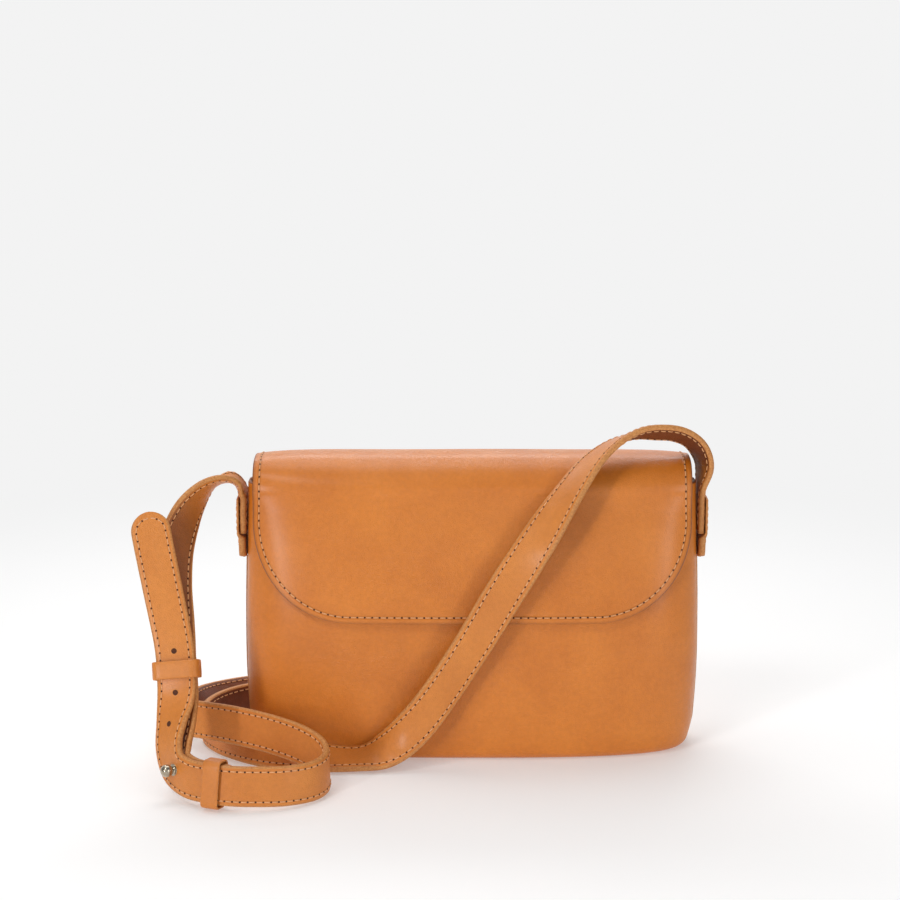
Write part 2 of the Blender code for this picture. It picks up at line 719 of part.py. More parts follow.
def make_stud(ribbon, metal, collection):
    """A ball stud whose post goes through both straps into a flat screw at the back."""
    centre, along, across, outward = ribbon.place(STUD_POINT)
    matrix = frame_matrix(centre, across, along, outward)
    face = STRAP_THICKNESS / 2
    ball = face + STUD_NECK + STUD_RADIUS
    profile = []
    for k in range(9):
        angle = math.radians(mix(90.0, -55.0, k / 8))
        profile.append((max(STUD_RADIUS * math.cos(angle), 0.0), ball + STUD_RADIUS * math.sin(angle)))
    profile += [(POST_RADIUS, face + STUD_NECK), (POST_RADIUS, -face), (0.0, -face)]
    make_turned("stud_ball", profile, matrix, metal, collection)
    back = -face - GAP - STRAP_THICKNESS - STUD_SPACE
    screw_profile = [
        (0.0, -face - GAP),
        (POST_RADIUS, -face - GAP),
        (POST_RADIUS, back - GAP),
        (SCREW_RADIUS, back - GAP),
        (SCREW_RADIUS, back - GAP - SCREW_HEAD),
        (0.0, back - GAP - SCREW_HEAD),
    ]
    make_turned("stud_screw", screw_profile, matrix, metal, collection)


def make_tab(name, side, material, collection):
    """The leather tab that covers a strap's sewn end: thick at its foot, thin where the strap lies under it."""
    inner = body_size(TAB_BOTTOM)[0] + GAP
    step = STRAP_SEAT_X + STRAP_THICKNESS / 2 + 2 * GAP
    outer = step + TAB_THICKNESS
    wide = STRAP_WIDTH / 2
    rows = (
        (TAB_TOP, step, outer, wide),
        (STRAP_FOOT - 2 * GAP, step, outer, wide),
        (STRAP_FOOT - 4 * GAP, inner, outer, wide),
        (TAB_BOTTOM + 0.006, inner, outer, wide),
        (TAB_BOTTOM, inner, outer - 2 * GAP, wide - 0.003),
    )
    bm = bmesh.new()
    rings = []
    for z, a, b, half in rows:
        corners = ((a, -half), (b, -half), (b, half), (a, half))
        rings.append([bm.verts.new((side * x, y, z)) for x, y in corners])
    bridge_rings(bm, rings)
    return make_object(name, bm, material, collection)


# ---- Assembly -----------------------------------------------------------------------------------------------
def clear_scene():
    for obj in list(bpy.data.objects):
        bpy.data.objects.remove(obj, do_unlink=True)


def main():
    clear_scene()
    parts = make_collection("sling_bag")
    cutters = make_collection("cutters")
    leather = make_material("bag_leather", COLOURS["leather"], 0.42)
    strap = make_material("strap_leather", COLOURS["strap"], 0.50)
    lining = make_material("lining_leather", COLOURS["lining"], 0.80)
    board = make_material("stiffener_board", COLOURS["board"], 0.85)
    metal = make_material("stud_metal", COLOURS["metal"], 0.30, 1.0)

    make_panel("front_panel", -1, FRONT_TOP, leather, parts)
    make_panel("back_panel", 1, BACK_TOP, leather, parts)
    make_base(leather, board, parts)
    make_lining(lining, parts)
    make_pocket(lining, parts)
    make_welt("side_welt_left", -1, leather, parts)
    make_welt("side_welt_right", 1, leather, parts)
    make_flap_root(leather, parts)
    make_flap_sheet("flap_outer", FLAP_CLEARANCE, FLAP_LEATHER, 0.0, leather, parts)
    make_flap_sheet(
        "flap_lining", FLAP_CLEARANCE - FLAP_LEATHER - GAP, FLAP_LINING, FLAP_LINING_TRIM, lining, parts
    )
    make_tab("strap_tab_left", -1, leather, parts)
    make_tab("strap_tab_right", 1, leather, parts)

    ribbon = Ribbon(LONG_ROUTE)
    long_strap = loft_strap("long_strap", long_strap_frames(ribbon), strap, parts, round_end=True)
    short_strap = loft_strap("short_strap", short_strap_frames(ribbon), strap, parts, round_end=True)
    make_magnet_closure(metal, parts)
    make_keeper("keeper_lower", ribbon, KEEPER_LOWER_POINT, strap, parts, cutters)
    make_keeper("keeper_upper", ribbon, KEEPER_UPPER_POINT, strap, parts, cutters)
    drill = make_drill("stud_drill", ribbon, STUD_POINT, POST_RADIUS + STUD_HOLE_MARGIN, cutters)
    add_cut(long_strap, drill)
    add_cut(short_strap, drill)
    make_stud(ribbon, metal, parts)


main()
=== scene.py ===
"""The looks of the tan leather sling bag: fine leather, stitching, straps, hardware and a white studio."""

import math

import bpy
import numpy as np
from mathutils import Matrix, Vector


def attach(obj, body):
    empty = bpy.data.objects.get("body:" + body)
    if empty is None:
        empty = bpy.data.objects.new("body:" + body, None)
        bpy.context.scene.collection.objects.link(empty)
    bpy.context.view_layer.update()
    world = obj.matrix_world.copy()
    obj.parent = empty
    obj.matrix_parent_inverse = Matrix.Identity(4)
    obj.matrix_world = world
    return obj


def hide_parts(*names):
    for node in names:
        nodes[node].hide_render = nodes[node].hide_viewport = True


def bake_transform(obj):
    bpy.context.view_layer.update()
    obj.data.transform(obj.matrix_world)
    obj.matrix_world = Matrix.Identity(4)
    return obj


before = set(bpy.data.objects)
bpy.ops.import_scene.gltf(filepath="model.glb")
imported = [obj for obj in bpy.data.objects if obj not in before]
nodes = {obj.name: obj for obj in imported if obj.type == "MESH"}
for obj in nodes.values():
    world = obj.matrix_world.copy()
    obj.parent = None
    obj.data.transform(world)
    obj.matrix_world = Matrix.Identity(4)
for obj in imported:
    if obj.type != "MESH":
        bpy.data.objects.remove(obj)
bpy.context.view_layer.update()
scene = bpy.context.scene

# ---- Sizes shared with the model ----
GAP = 0.0003
LEATHER = 0.0020
LINING = 0.0010
SEAM_HALF = 0.0008
CORNER_POWER = 3.5
BASE_POWER = 2.9
BASE_BLEND = 0.060
ROLL = 0.006
BODY_PROFILE = (
    (0.000, 0.1205, 0.0345),
    (0.015, 0.1235, 0.0360),
    (0.045, 0.1250, 0.0365),
    (0.080, 0.1248, 0.0345),
    (0.115, 0.1238, 0.0290),
    (0.150, 0.1232, 0.0195),
    (0.160, 0.1232, 0.0170),
)
PANEL_TOP = 0.150
LINING_FLOOR = 0.0044
LINING_INSET = 0.0036
LINING_TOP = 0.147

FLAP_HALF_WIDTH = 0.1190
FLAP_CORNER = 0.052
FLAP_BOTTOM = 0.0785
FLAP_LEATHER = 0.0017
FLAP_LINING = 0.0012
FLAP_CLEARANCE = 0.0046
FLAP_DROOP = 0.0022
FLAP_CORNER_WIDTH = 0.1262
FLAP_START = (0.0160, 0.1580)

STRAP_WIDTH = 0.021
STRAP_THICKNESS = 0.0034
KEEPER_LENGTH = 0.0095
KEEPER_WALL = 0.0012
KEEPER_ROOM = 0.0018
STUD_RADIUS = 0.0033
POST_RADIUS = 0.0018
STUD_NECK = 0.0008
STUD_SPACE = 0.0013
STRAP_SEAT_X = 0.1259
TAB_TOP = 0.141
TAB_BOTTOM = 0.108

LONG_ROUTE = (
    ((0.1259, 0.0000, 0.1220), (0.00, 1.00, 0.00)),
    ((0.1259, 0.0000, 0.1340), (0.00, 1.00, 0.00)),
    ((0.1260, -0.0002, 0.1460), (-0.02, 1.00, 0.00)),
    ((0.1268, -0.0035, 0.1600), (-0.30, 0.95, -0.06)),
    ((0.1218, -0.0080, 0.1710), (-0.38, 0.90, -0.20)),
    ((0.1125, -0.0125, 0.1775), (-0.32, 0.86, -0.38)),
    ((0.1015, -0.0160, 0.1797), (-0.22, 0.86, -0.46)),
    ((0.0890, -0.0185, 0.1795), (-0.12, 0.93, -0.36)),
    ((0.0760, -0.0230, 0.1750), (-0.14, 0.98, -0.12)),
    ((0.0630, -0.0285, 0.1650), (-0.26, 0.95, 0.12)),
    ((0.0500, -0.0375, 0.1490), (-0.46, 0.82, 0.28)),
    ((0.0350, -0.0450, 0.1270), (-0.70, 0.50, 0.44)),
    ((0.0160, -0.0480, 0.0970), (-0.84, 0.12, 0.50)),
    ((0.0000, -0.0485, 0.0700), (-0.84, -0.12, 0.52)),
    ((-0.0160, -0.0490, 0.0450), (-0.78, -0.16, 0.60)),
    ((-0.0300, -0.0490, 0.0260), (-0.66, 0.10, 0.72)),
    ((-0.0440, -0.0480, 0.0125), (-0.40, 0.58, 0.68)),
    ((-0.0600, -0.0468, 0.0058), (-0.10, 0.94, 0.28)),
    ((-0.0800, -0.0470, 0.0060), (0.04, 0.90, 0.38)),
    ((-0.1000, -0.0465, 0.0086), (0.12, 0.72, 0.66)),
    ((-0.1200, -0.0390, 0.0104), (0.14, 0.40, 0.90)),
    ((-0.1390, -0.0245, 0.0109), (0.06, 0.10, 1.00)),
    ((-0.1500, -0.0050, 0.0108), (0.00, 0.00, 1.00)),
    ((-0.1475, 0.0150, 0.0108), (0.00, 0.00, 1.00)),
    ((-0.1360, 0.0320, 0.0108), (0.00, 0.00, 1.00)),
    ((-0.1180, 0.0430, 0.0108), (0.00, 0.00, 1.00)),
    ((-0.0950, 0.0475, 0.0108), (0.00, 0.00, 1.00)),
    ((-0.0720, 0.0485, 0.0108), (0.00, 0.00, 1.00)),
    ((-0.0580, 0.0505, 0.0108), (0.00, 0.00, 1.00)),
    ((-0.0530, 0.0565, 0.0108), (0.00, 0.00, 1.00)),
    ((-0.0580, 0.0625, 0.0110), (0.00, 0.05, 1.00)),
    ((-0.0720, 0.0650, 0.0112), (0.00, 0.25, 0.96)),
    ((-0.0970, 0.0665, 0.0097), (0.00, 0.60, 0.80)),
    ((-0.1240, 0.0620, 0.0090), (-0.20, 0.68, 0.70)),
    ((-0.1460, 0.0460, 0.0098), (-0.42, 0.45, 0.78)),
    ((-0.1590, 0.0200, 0.0125), (-0.22, 0.05, 0.97)),
    ((-0.1620, -0.0050, 0.0170), (-0.04, 0.00, 1.00)),
    ((-0.1565, -0.0240, 0.0210), (0.00, 0.04, 1.00)),
    ((-0.1450, -0.0350, 0.0230), (0.02, 0.12, 1.00)),
    ((-0.1280, -0.0450, 0.0235), (0.05, 0.20, 1.00)),
    ((-0.1080, -0.0560, 0.0225), (0.05, 0.22, 1.00)),
    ((-0.0910, -0.0650, 0.0195), (0.02, 0.16, 1.00)),
    ((-0.0800, -0.0740, 0.0155), (0.00, 0.04, 1.00)),
    ((-0.0770, -0.0850, 0.0125), (-0.04, 0.02, 1.00)),
    ((-0.0830, -0.0970, 0.0114), (-0.06, 0.10, 1.00)),
    ((-0.0970, -0.1060, 0.0119), (0.00, 0.16, 1.00)),
    ((-0.1150, -0.1100, 0.0130), (0.00, 0.16, 1.00)),
    ((-0.1270, -0.1098, 0.0135), (0.00, 0.16, 1.00)),
    ((-0.1380, -0.1065, 0.0138), (0.04, 0.12, 1.00)),
    ((-0.1480, -0.1000, 0.0142), (0.22, -0.04, 0.97)),
    ((-0.1560, -0.0915, 0.0175), (0.46, -0.34, 0.80)),
    ((-0.1590, -0.0840, 0.0265), (0.66, -0.50, 0.54)),
    ((-0.1580, -0.0775, 0.0380), (0.80, -0.50, 0.28)),
    ((-0.1562, -0.0722, 0.0495), (0.96, -0.24, 0.04)),
    ((-0.1567, -0.0675, 0.0620), (0.99, -0.12, 0.02)),
    ((-0.1583, -0.0628, 0.0760), (0.99, -0.04, 0.08)),
    ((-0.1635, -0.0570, 0.1000), (0.98, 0.05, 0.18)),
    ((-0.1690, -0.0510, 0.1250), (0.97, 0.10, 0.18)),
    ((-0.1725, -0.0465, 0.1425), (0.97, 0.12, 0.16)),
)
KEEPER_LOWER_POINT = 47.6
STUD_POINT = 49.75
KEEPER_UPPER_POINT = 54.0
SHORT_STUB_POINT = 46.2
SHORT_JOIN_POINT = 54.6
BULGE_POINT = 51.6
BULGE_REACH = 2.3
BULGE = 0.0030
SHORT_ROUTE = (
    ((-0.1259, 0.0000, 0.1220), (0.00, -1.00, 0.00)),
    ((-0.1259, 0.0000, 0.1340), (0.00, -1.00, 0.00)),
    ((-0.1261, -0.0003, 0.1430), (0.00, -1.00, 0.00)),
    ((-0.1310, -0.0040, 0.1505), (-0.10, -0.98, 0.10)),
    ((-0.1390, -0.0100, 0.1510), (-0.25, -0.90, 0.10)),
    ((-0.1470, -0.0175, 0.1460), (-0.42, -0.85, 0.05)),
    ((-0.1545, -0.0270, 0.1360), (-0.60, -0.75, 0.05)),
    ((-0.1592, -0.0375, 0.1210), (-0.78, -0.58, 0.00)),
    ((-0.1600, -0.0470, 0.1030), (-0.90, -0.38, 0.00)),
    ((-0.1585, -0.0545, 0.0850), (-0.97, -0.20, 0.00)),
)

# ---- Sizes of the fine work ----
STITCH_PITCH = 0.0040
STITCH_LENGTH = 0.0030
STITCH_RADIUS = 0.00030
NEEDLE_RADIUS = 0.00054
STRAP_STITCH_INSET = 0.0028
THREAD_ROOM = 0.0003
FLAP_STITCH_INSET = 0.0034
HOLE_RADIUS = 0.0015
HOLE_POINTS = (51.8, 53.1, 54.72)
SEWN_LIFT = 0.00006
CUT_CORNER = 0.0011
CROWN = 0.00012
KEEPER_CORNER = 0.0028
GRAIN_DEPTH = 0.0003
EDGE_SHADE_REACH = 0.0016
GROOVE_HALF_WIDTH = 0.0011
GROOVE_DEPTH = 0.0006
LINING_ROLL = 0.0052
POCKET_BOTTOM = 0.050
POCKET_TOP = 0.128
POCKET_HEM = 0.1245
POCKET_HALF_WIDTH = 0.070
POCKET_CORNER = 0.012
POCKET_THICKNESS = 0.0010
WELT_HALF_THICKNESS = 0.0006
FLAP_COLUMNS = 141
ROOT_BOTTOM = 0.134
ROOT_TOP = 0.1555
ROOT_HALF_WIDTH = 0.112
ROOT_OUT = 0.0022
ROOT_THICKNESS = 0.0016
FOLD_HALF_WIDTH = 0.110
FOLD_HALF_THICKNESS = 0.0005
TAB_HALF_WIDTH = 0.0105
TAB_CORNER = 0.007
TAB_THICKNESS = 0.0014

# ---- Camera ----
camera_data = bpy.data.cameras.new("camera")
camera_data.lens = 80.0
camera_data.sensor_width = 36.0
camera_data.clip_start = 0.01
camera = bpy.data.objects.new("camera", camera_data)
camera.location = (-0.0122, -1.0806, 0.377)
camera.rotation_euler = (math.radians(79.0), 0.0, 0.0)
scene.collection.objects.link(camera)
scene.camera = camera


# ---- Curves and outlines ----
def mix(a, b, t):
    return a + (b - a) * t


def smooth(edge0, edge1, x):
    t = min(max((x - edge0) / (edge1 - edge0), 0.0), 1.0)
    return t * t * (3.0 - 2.0 * t)


def catmull(points, at):
    last = len(points) - 1
    at = min(max(at, 0.0), last)
    i = min(int(at), last - 1)
    t = at - i
    p0 = points[max(i - 1, 0)]
    p1 = points[i]
    p2 = points[i + 1]
    p3 = points[min(i + 2, last)]
    return 0.5 * (
        2.0 * p1
        + (p2 - p0) * t
        + (2.0 * p0 - 5.0 * p1 + 4.0 * p2 - p3) * t * t
        + (3.0 * p1 - p0 - 3.0 * p2 + p3) * t ** 3
    )


SIZE_POINTS = [Vector(row[1:]) for row in BODY_PROFILE]
HEIGHTS = [row[0] for row in BODY_PROFILE]


def body_size(z):
    z = min(max(z, HEIGHTS[0]), HEIGHTS[-1])
    i = max(k for k in range(len(HEIGHTS) - 1) if HEIGHTS[k] <= z)
    t = (z - HEIGHTS[i]) / (HEIGHTS[i + 1] - HEIGHTS[i])
    size = catmull(SIZE_POINTS, i + t)
    return size[0], size[1]


def outline_point(angle, half_width, half_depth, z=0.0):
    power = 2.0 / mix(BASE_POWER, CORNER_POWER, min(z / BASE_BLEND, 1.0))
    c, s = math.cos(angle), math.sin(angle)
    return (
        math.copysign(abs(c) ** power, c) * half_width,
        math.copysign(abs(s) ** power, s) * half_depth,
    )


class Ribbon:
    """A strap's centre line with the direction across it."""

    def __init__(self, route):
        self.points = [Vector(point) for point, _ in route]
        self.across = [Vector(across).normalized() for _, across in route]
        self.last = len(route) - 1

    def place(self, at):
        centre = catmull(self.points, at)
        step = 0.02
        along = (catmull(self.points, at + step) - catmull(self.points, at - step)).normalized()
        across = catmull(self.across, at)
        across = (across - along * across.dot(along)).normalized()
        return centre, along, across, across.cross(along)

    def measure(self, start, end, count=6000):
        """Places from start to end and their distances along the centre line."""
        places = [mix(start, end, k / count) for k in range(count + 1)]
        total = [0.0]
        previous = catmull(self.points, places[0])
        for at in places[1:]:
            point = catmull(self.points, at)
            total.append(total[-1] + (point - previous).length)
            previous = point
        return np.array(places), np.array(total)


# ---- Mesh helpers ----
def add_mesh(name, points, faces, materials, indices=None, smooth_angle=None):
    mesh = bpy.data.meshes.new(name)
    mesh.from_pydata([tuple(p) for p in points], [], [tuple(f) for f in faces])
    for material in materials:
        mesh.materials.append(material)
    if indices is not None:
        mesh.polygons.foreach_set("material_index", list(indices))
    mesh.validate()
    mesh.update()
    obj = bpy.data.objects.new(name, mesh)
    scene.collection.objects.link(obj)
    mesh.shade_smooth()
    if smooth_angle:
        mesh.set_sharp_from_angle(angle=math.radians(smooth_angle))
    return obj


def add_attribute(obj, name, values):
    layer = obj.data.attributes.new(name, "FLOAT", "POINT")
    layer.data.foreach_set("value", np.asarray(values, np.float32))


def grid_faces(rows, columns, closed=False):
    faces = []
    for r in range(rows - 1):
        for c in range(columns if closed else columns - 1):
            d = (c + 1) % columns
            faces.append((r * columns + c, r * columns + d, (r + 1) * columns + d, (r + 1) * columns + c))
    return faces


def end_caps(total, count):
    """The two end faces of a tube of total points, count in each ring."""
    return [tuple(range(count - 1, -1, -1)), tuple(range(total - count, total))]


def grid_normals(grid, side):
    """Unit normals of a grid of points, facing side along Y at its middle."""
    normal = np.cross(np.gradient(grid, axis=1), np.gradient(grid, axis=0))
    normal /= np.maximum(np.linalg.norm(normal, axis=2, keepdims=True), 1e-9)
    if normal[len(grid) // 2, grid.shape[1] // 2, 1] * side < 0:
        normal = -normal
    return normal


def flipped(points, columns):
    """The same grid with each row running the other way."""
    return np.array(points).reshape(-1, columns, 3)[:, ::-1].reshape(-1, 3)


def shell(name, front, back, columns, materials):
    """A closed sheet with rounded rims, from two grids of the same size.

    Its front takes the first material, its rims the second and its back the last.
    """
    front = np.asarray(front, float)
    back = np.asarray(back, float)
    rows = len(front) // columns
    count = len(front)
    base = grid_faces(rows, columns)
    faces = list(base) + [tuple(i + count for i in face[::-1]) for face in base]
    indices = [0] * len(base) + [min(2, len(materials) - 1)] * len(base)
    border = list(range(columns))
    border += [r * columns + columns - 1 for r in range(1, rows)]
    border += [(rows - 1) * columns + c for c in range(columns - 2, -1, -1)]
    border += [r * columns for r in range(rows - 2, 0, -1)]
    points = [*front, *back]
    middle = front.reshape(rows, columns, 3)
    ring_ids = []
    steps = 5
    for k in range(1, steps):
        angle = math.pi * k / steps
        ids = []
        for b in border:
            r, c = divmod(b, columns)
            inner = middle[min(max(r, 1), rows - 2), min(max(c, 1), columns - 2)]
            outward = middle[r, c] - inner
            length = np.linalg.norm(outward)
            outward = outward / length if length > 0 else outward
            half = (front[b] - back[b]) / 2
            centre = (front[b] + back[b]) / 2
            radius = np.linalg.norm(half) * 0.75
            ids.append(len(points))
            points.append(centre + half * math.cos(angle) + outward * radius * math.sin(angle))
        ring_ids.append(ids)
    chain = [border] + ring_ids + [[b + count for b in border]]
    for upper, lower in zip(chain, chain[1:]):
        for i in range(len(border)):
            j = (i + 1) % len(border)
            faces.append((upper[j], upper[i], lower[i], lower[j]))
            indices.append(min(1, len(materials) - 1))
    return add_mesh(name, points, faces, materials, indices), count, len(points)


class Stitches:
    """Many small thread stitches and needle holes gathered into one piece."""

    def __init__(self):
        self.points = []
        self.faces = []
        self.indices = []

    def add(self, centre, along, outward):
        across = outward.cross(along).normalized()
        rings = []
        for t, share in ((-1.0, 0.30), (-0.82, 0.85), (-0.4, 1.0), (0.4, 1.0), (0.82, 0.85), (1.0, 0.30)):
            rise = STITCH_RADIUS * (0.65 - 0.75 * t * t)
            middle = centre + along * (t * STITCH_LENGTH / 2) + outward * rise
            start = len(self.points)
            for k in range(6):
                angle = math.tau * k / 6
                offset = across * (1.15 * STITCH_RADIUS * share * math.cos(angle))
                self.points.append(middle + offset + outward * (STITCH_RADIUS * share * math.sin(angle)))
            rings.append(start)
        for a, b in zip(rings, rings[1:]):
            for k in range(6):
                j = (k + 1) % 6
                self.faces.append((a + k, a + j, b + j, b + k))
                self.indices.append(0)
        self.faces.append(tuple(rings[0] + k for k in range(5, -1, -1)))
        self.faces.append(tuple(rings[-1] + k for k in range(6)))
        self.indices += [0, 0]

    # A needle hole is drawn as a small dark disc: painted shade of the hole's inside.
    def hole(self, centre, along, outward):
        across = outward.cross(along).normalized()
        start = len(self.points)
        for lift in (-0.0002, 0.00005):
            for k in range(8):
                angle = math.tau * k / 8
                side = across * (NEEDLE_RADIUS * math.cos(angle))
                ahead = along * (NEEDLE_RADIUS * math.sin(angle))
                self.points.append(centre + side + ahead + outward * lift)
        for k in range(8):
            j = (k + 1) % 8
            self.faces.append((start + k, start + j, start + 8 + j, start + 8 + k))
            self.indices.append(1)
        self.faces.append(tuple(start + 8 + k for k in range(8)))
        self.faces.append(tuple(start + k for k in range(7, -1, -1)))
        self.indices += [1, 1]

    def line(self, points, normals, pitch=STITCH_PITCH):
        """Stitches along a run of points with their outward directions."""
        points = [Vector(p) for p in points]
        normals = [Vector(n) for n in normals]
        total = [0.0]
        for a, b in zip(points, points[1:]):
            total.append(total[-1] + (b - a).length)
        count = max(1, round(total[-1] / pitch))
        pitch = total[-1] / count

        def at(distance):
            i = min(max(int(np.searchsorted(total, distance)) - 1, 0), len(points) - 2)
            span = max(total[i + 1] - total[i], 1e-9)
            t = min(max((distance - total[i]) / span, 0.0), 1.0)
            normal = normals[i].lerp(normals[i + 1], t).normalized()
            return points[i].lerp(points[i + 1], t), normal

        for k in range(count):
            centre, normal = at((k + 0.5) * pitch)
            before, _ = at((k + 0.3) * pitch)
            after, _ = at((k + 0.7) * pitch)
            along = (after - before).normalized()
            self.add(centre, along, normal)
            place, normal = at(k * pitch)
            self.hole(place, along, normal)

    def build(self, name):
        return add_mesh(name, self.points, self.faces, [thread, hole_shade], self.indices)


# ---- Materials ----
def new_material(name):
    material = bpy.data.materials.new(name)
    material.use_nodes = True
    tree = material.node_tree
    return material, tree, tree.nodes["Principled BSDF"]


def texture_node(tree, kind, scale):
    coordinates = tree.nodes.new("ShaderNodeTexCoord")
    texture = tree.nodes.new(kind)
    texture.inputs["Scale"].default_value = scale
    tree.links.new(coordinates.outputs["Object"], texture.inputs["Vector"])
    return texture


def noise(tree, scale, detail):
    texture = texture_node(tree, "ShaderNodeTexNoise", scale)
    texture.inputs["Detail"].default_value = detail
    texture.inputs["Roughness"].default_value = 0.55
    return texture.outputs["Fac"]


def cells(tree, scale):
    texture = texture_node(tree, "ShaderNodeTexVoronoi", scale)
    texture.feature = "DISTANCE_TO_EDGE"
    return texture.outputs["Distance"]


def ramp(tree, source, stops):
    node = tree.nodes.new("ShaderNodeValToRGB")
    elements = node.color_ramp.elements
    while len(elements) < len(stops):
        elements.new(0.5)
    for element, (position, colour) in zip(elements, stops):
        element.position = position
        element.color = (*colour, 1.0)
    tree.links.new(source, node.inputs["Fac"])
    return node.outputs["Color"]


def maths(tree, operation, a, b, clamp=False):
    node = tree.nodes.new("ShaderNodeMath")
    node.operation = operation
    node.use_clamp = clamp
    for socket, value in zip(node.inputs, (a, b)):
        if isinstance(value, (int, float)):
            socket.default_value = value
        else:
            tree.links.new(value, socket)
    return node.outputs[0]


def blend_colour(tree, factor, a, b, mode="MIX"):
    node = tree.nodes.new("ShaderNodeMix")
    node.data_type = "RGBA"
    node.blend_type = mode
    for name, value in (("Factor", factor), ("A", a), ("B", b)):
        kind = "VALUE" if name == "Factor" else "RGBA"
        socket = next(s for s in node.inputs if s.name == name and s.type == kind)
        if isinstance(value, tuple):
            socket.default_value = (*value, 1.0)
        elif isinstance(value, (int, float)):
            socket.default_value = value
        else:
            tree.links.new(value, socket)
    return next(s for s in node.outputs if s.type == "RGBA")


def bump(tree, height, distance, strength=1.0, normal=None):
    node = tree.nodes.new("ShaderNodeBump")
    node.inputs["Distance"].default_value = distance
    node.inputs["Strength"].default_value = strength
    tree.links.new(height, node.inputs["Height"])
    if normal is not None:
        tree.links.new(normal, node.inputs["Normal"])
    return node.outputs["Normal"]


def attribute(tree, name):
    node = tree.nodes.new("ShaderNodeAttribute")
    node.attribute_name = name
    return node.outputs["Fac"]


def tinted(colour, share):
    return tuple(c * share for c in colour)


def leather_material(name, light, dark, roughness, coat=0.28, edge_name=None, shade_name=None, shade_colour=None):
    """Smooth grained leather; edge_name is a distance to a free edge, shade_name a painted shade toward
    shade_colour.
    """
    material, tree, shader = new_material(name)
    colour = ramp(tree, noise(tree, 28.0, 5.0), ((0.28, dark), (0.72, light)))
    fine = ramp(tree, noise(tree, 420.0, 3.0), ((0.35, (0.88, 0.86, 0.84)), (0.65, (1.0, 1.0, 1.0))))
    colour = blend_colour(tree, 0.6, colour, fine, "MULTIPLY")
    grain_height = maths(tree, "ADD", cells(tree, 1250.0), noise(tree, 1500.0, 3.0))
    normal = bump(tree, grain_height, GRAIN_DEPTH, 0.8)
    normal = bump(tree, noise(tree, 60.0, 3.0), 0.0009, 0.35, normal)
    if edge_name is not None:
        edge = attribute(tree, edge_name)
        near = maths(tree, "SUBTRACT", 1.0, maths(tree, "DIVIDE", edge, EDGE_SHADE_REACH), True)
        colour = blend_colour(tree, maths(tree, "MULTIPLY", near, 0.55), colour, tinted(dark, 0.40))
        off = maths(tree, "ABSOLUTE", maths(tree, "SUBTRACT", edge, FLAP_STITCH_INSET), 0.0)
        groove = maths(tree, "MINIMUM", maths(tree, "DIVIDE", off, GROOVE_HALF_WIDTH), 1.0)
        normal = bump(tree, groove, GROOVE_DEPTH, 0.8, normal)
        in_groove = maths(tree, "SUBTRACT", 1.0, groove)
        colour = blend_colour(tree, maths(tree, "MULTIPLY", in_groove, 0.35), colour, tinted(dark, 0.6))
    if shade_name is not None:
        # Painted shade: where the shade attribute is set, the colour is darkened toward the shade colour.
        # This stands in for shade inside the strap arcs and the loop.
        shade = attribute(tree, shade_name)
        painted_shade_tone = ramp(tree, noise(tree, 300.0, 6.0), ((0.3, tinted(shade_colour, 0.7)), (0.7, shade_colour)))
        colour = blend_colour(tree, shade, colour, painted_shade_tone)
    tree.links.new(colour, shader.inputs["Base Color"])
    stops = ((0.3, (roughness - 0.05,) * 3), (0.7, (roughness + 0.08,) * 3))
    tree.links.new(ramp(tree, noise(tree, 45.0, 4.0), stops), shader.inputs["Roughness"])
    shader.inputs["Coat Weight"].default_value = coat
    shader.inputs["Coat Roughness"].default_value = 0.26
    shader.inputs["Specular IOR Level"].default_value = 0.40
    tree.links.new(normal, shader.inputs["Normal"])
    return material


def simple_material(name, light, dark, roughness, scale, depth, metallic=0.0, sheen=0.0):
    material, tree, shader = new_material(name)
    texture = noise(tree, scale, 5.0)
    tree.links.new(ramp(tree, texture, ((0.3, dark), (0.7, light))), shader.inputs["Base Color"])
    tree.links.new(bump(tree, texture, depth, 0.6), shader.inputs["Normal"])
    shader.inputs["Roughness"].default_value = roughness
    shader.inputs["Metallic"].default_value = metallic
    shader.inputs["Sheen Weight"].default_value = sheen
    return material


TAN_LIGHT = (0.700, 0.215, 0.018)
TAN_DARK = (0.590, 0.165, 0.010)
STRAP_LIGHT = (0.700, 0.240, 0.036)
STRAP_DARK = (0.580, 0.178, 0.020)
# The colour of the painted shade inside the strap arcs and the loop behind the bag.
PAINTED_SHADE_COLOUR = (0.165, 0.034, 0.007)
RAW_LIGHT = (0.640, 0.290, 0.080)
RAW_DARK = (0.430, 0.150, 0.035)
SUEDE_LIGHT = (0.330, 0.140, 0.055)
SUEDE_DARK = (0.210, 0.080, 0.030)
RIM_LIGHT = (0.330, 0.105, 0.028)
RIM_DARK = (0.190, 0.055, 0.014)
THREAD_LIGHT = (0.800, 0.440, 0.210)
THREAD_DARK = (0.640, 0.300, 0.115)
# The two tones of the painted shade inside needle holes and stud holes.
HOLE_LIGHT = (0.110, 0.030, 0.010)
HOLE_DARK = (0.050, 0.014, 0.005)
BOARD_LIGHT = (0.120, 0.085, 0.060)
BOARD_DARK = (0.075, 0.052, 0.036)
ANTIQUE_LIGHT = (0.560, 0.500, 0.400)
ANTIQUE_DARK = (0.330, 0.280, 0.200)
NICKEL_LIGHT = (0.620, 0.620, 0.630)
NICKEL_DARK = (0.500, 0.500, 0.510)

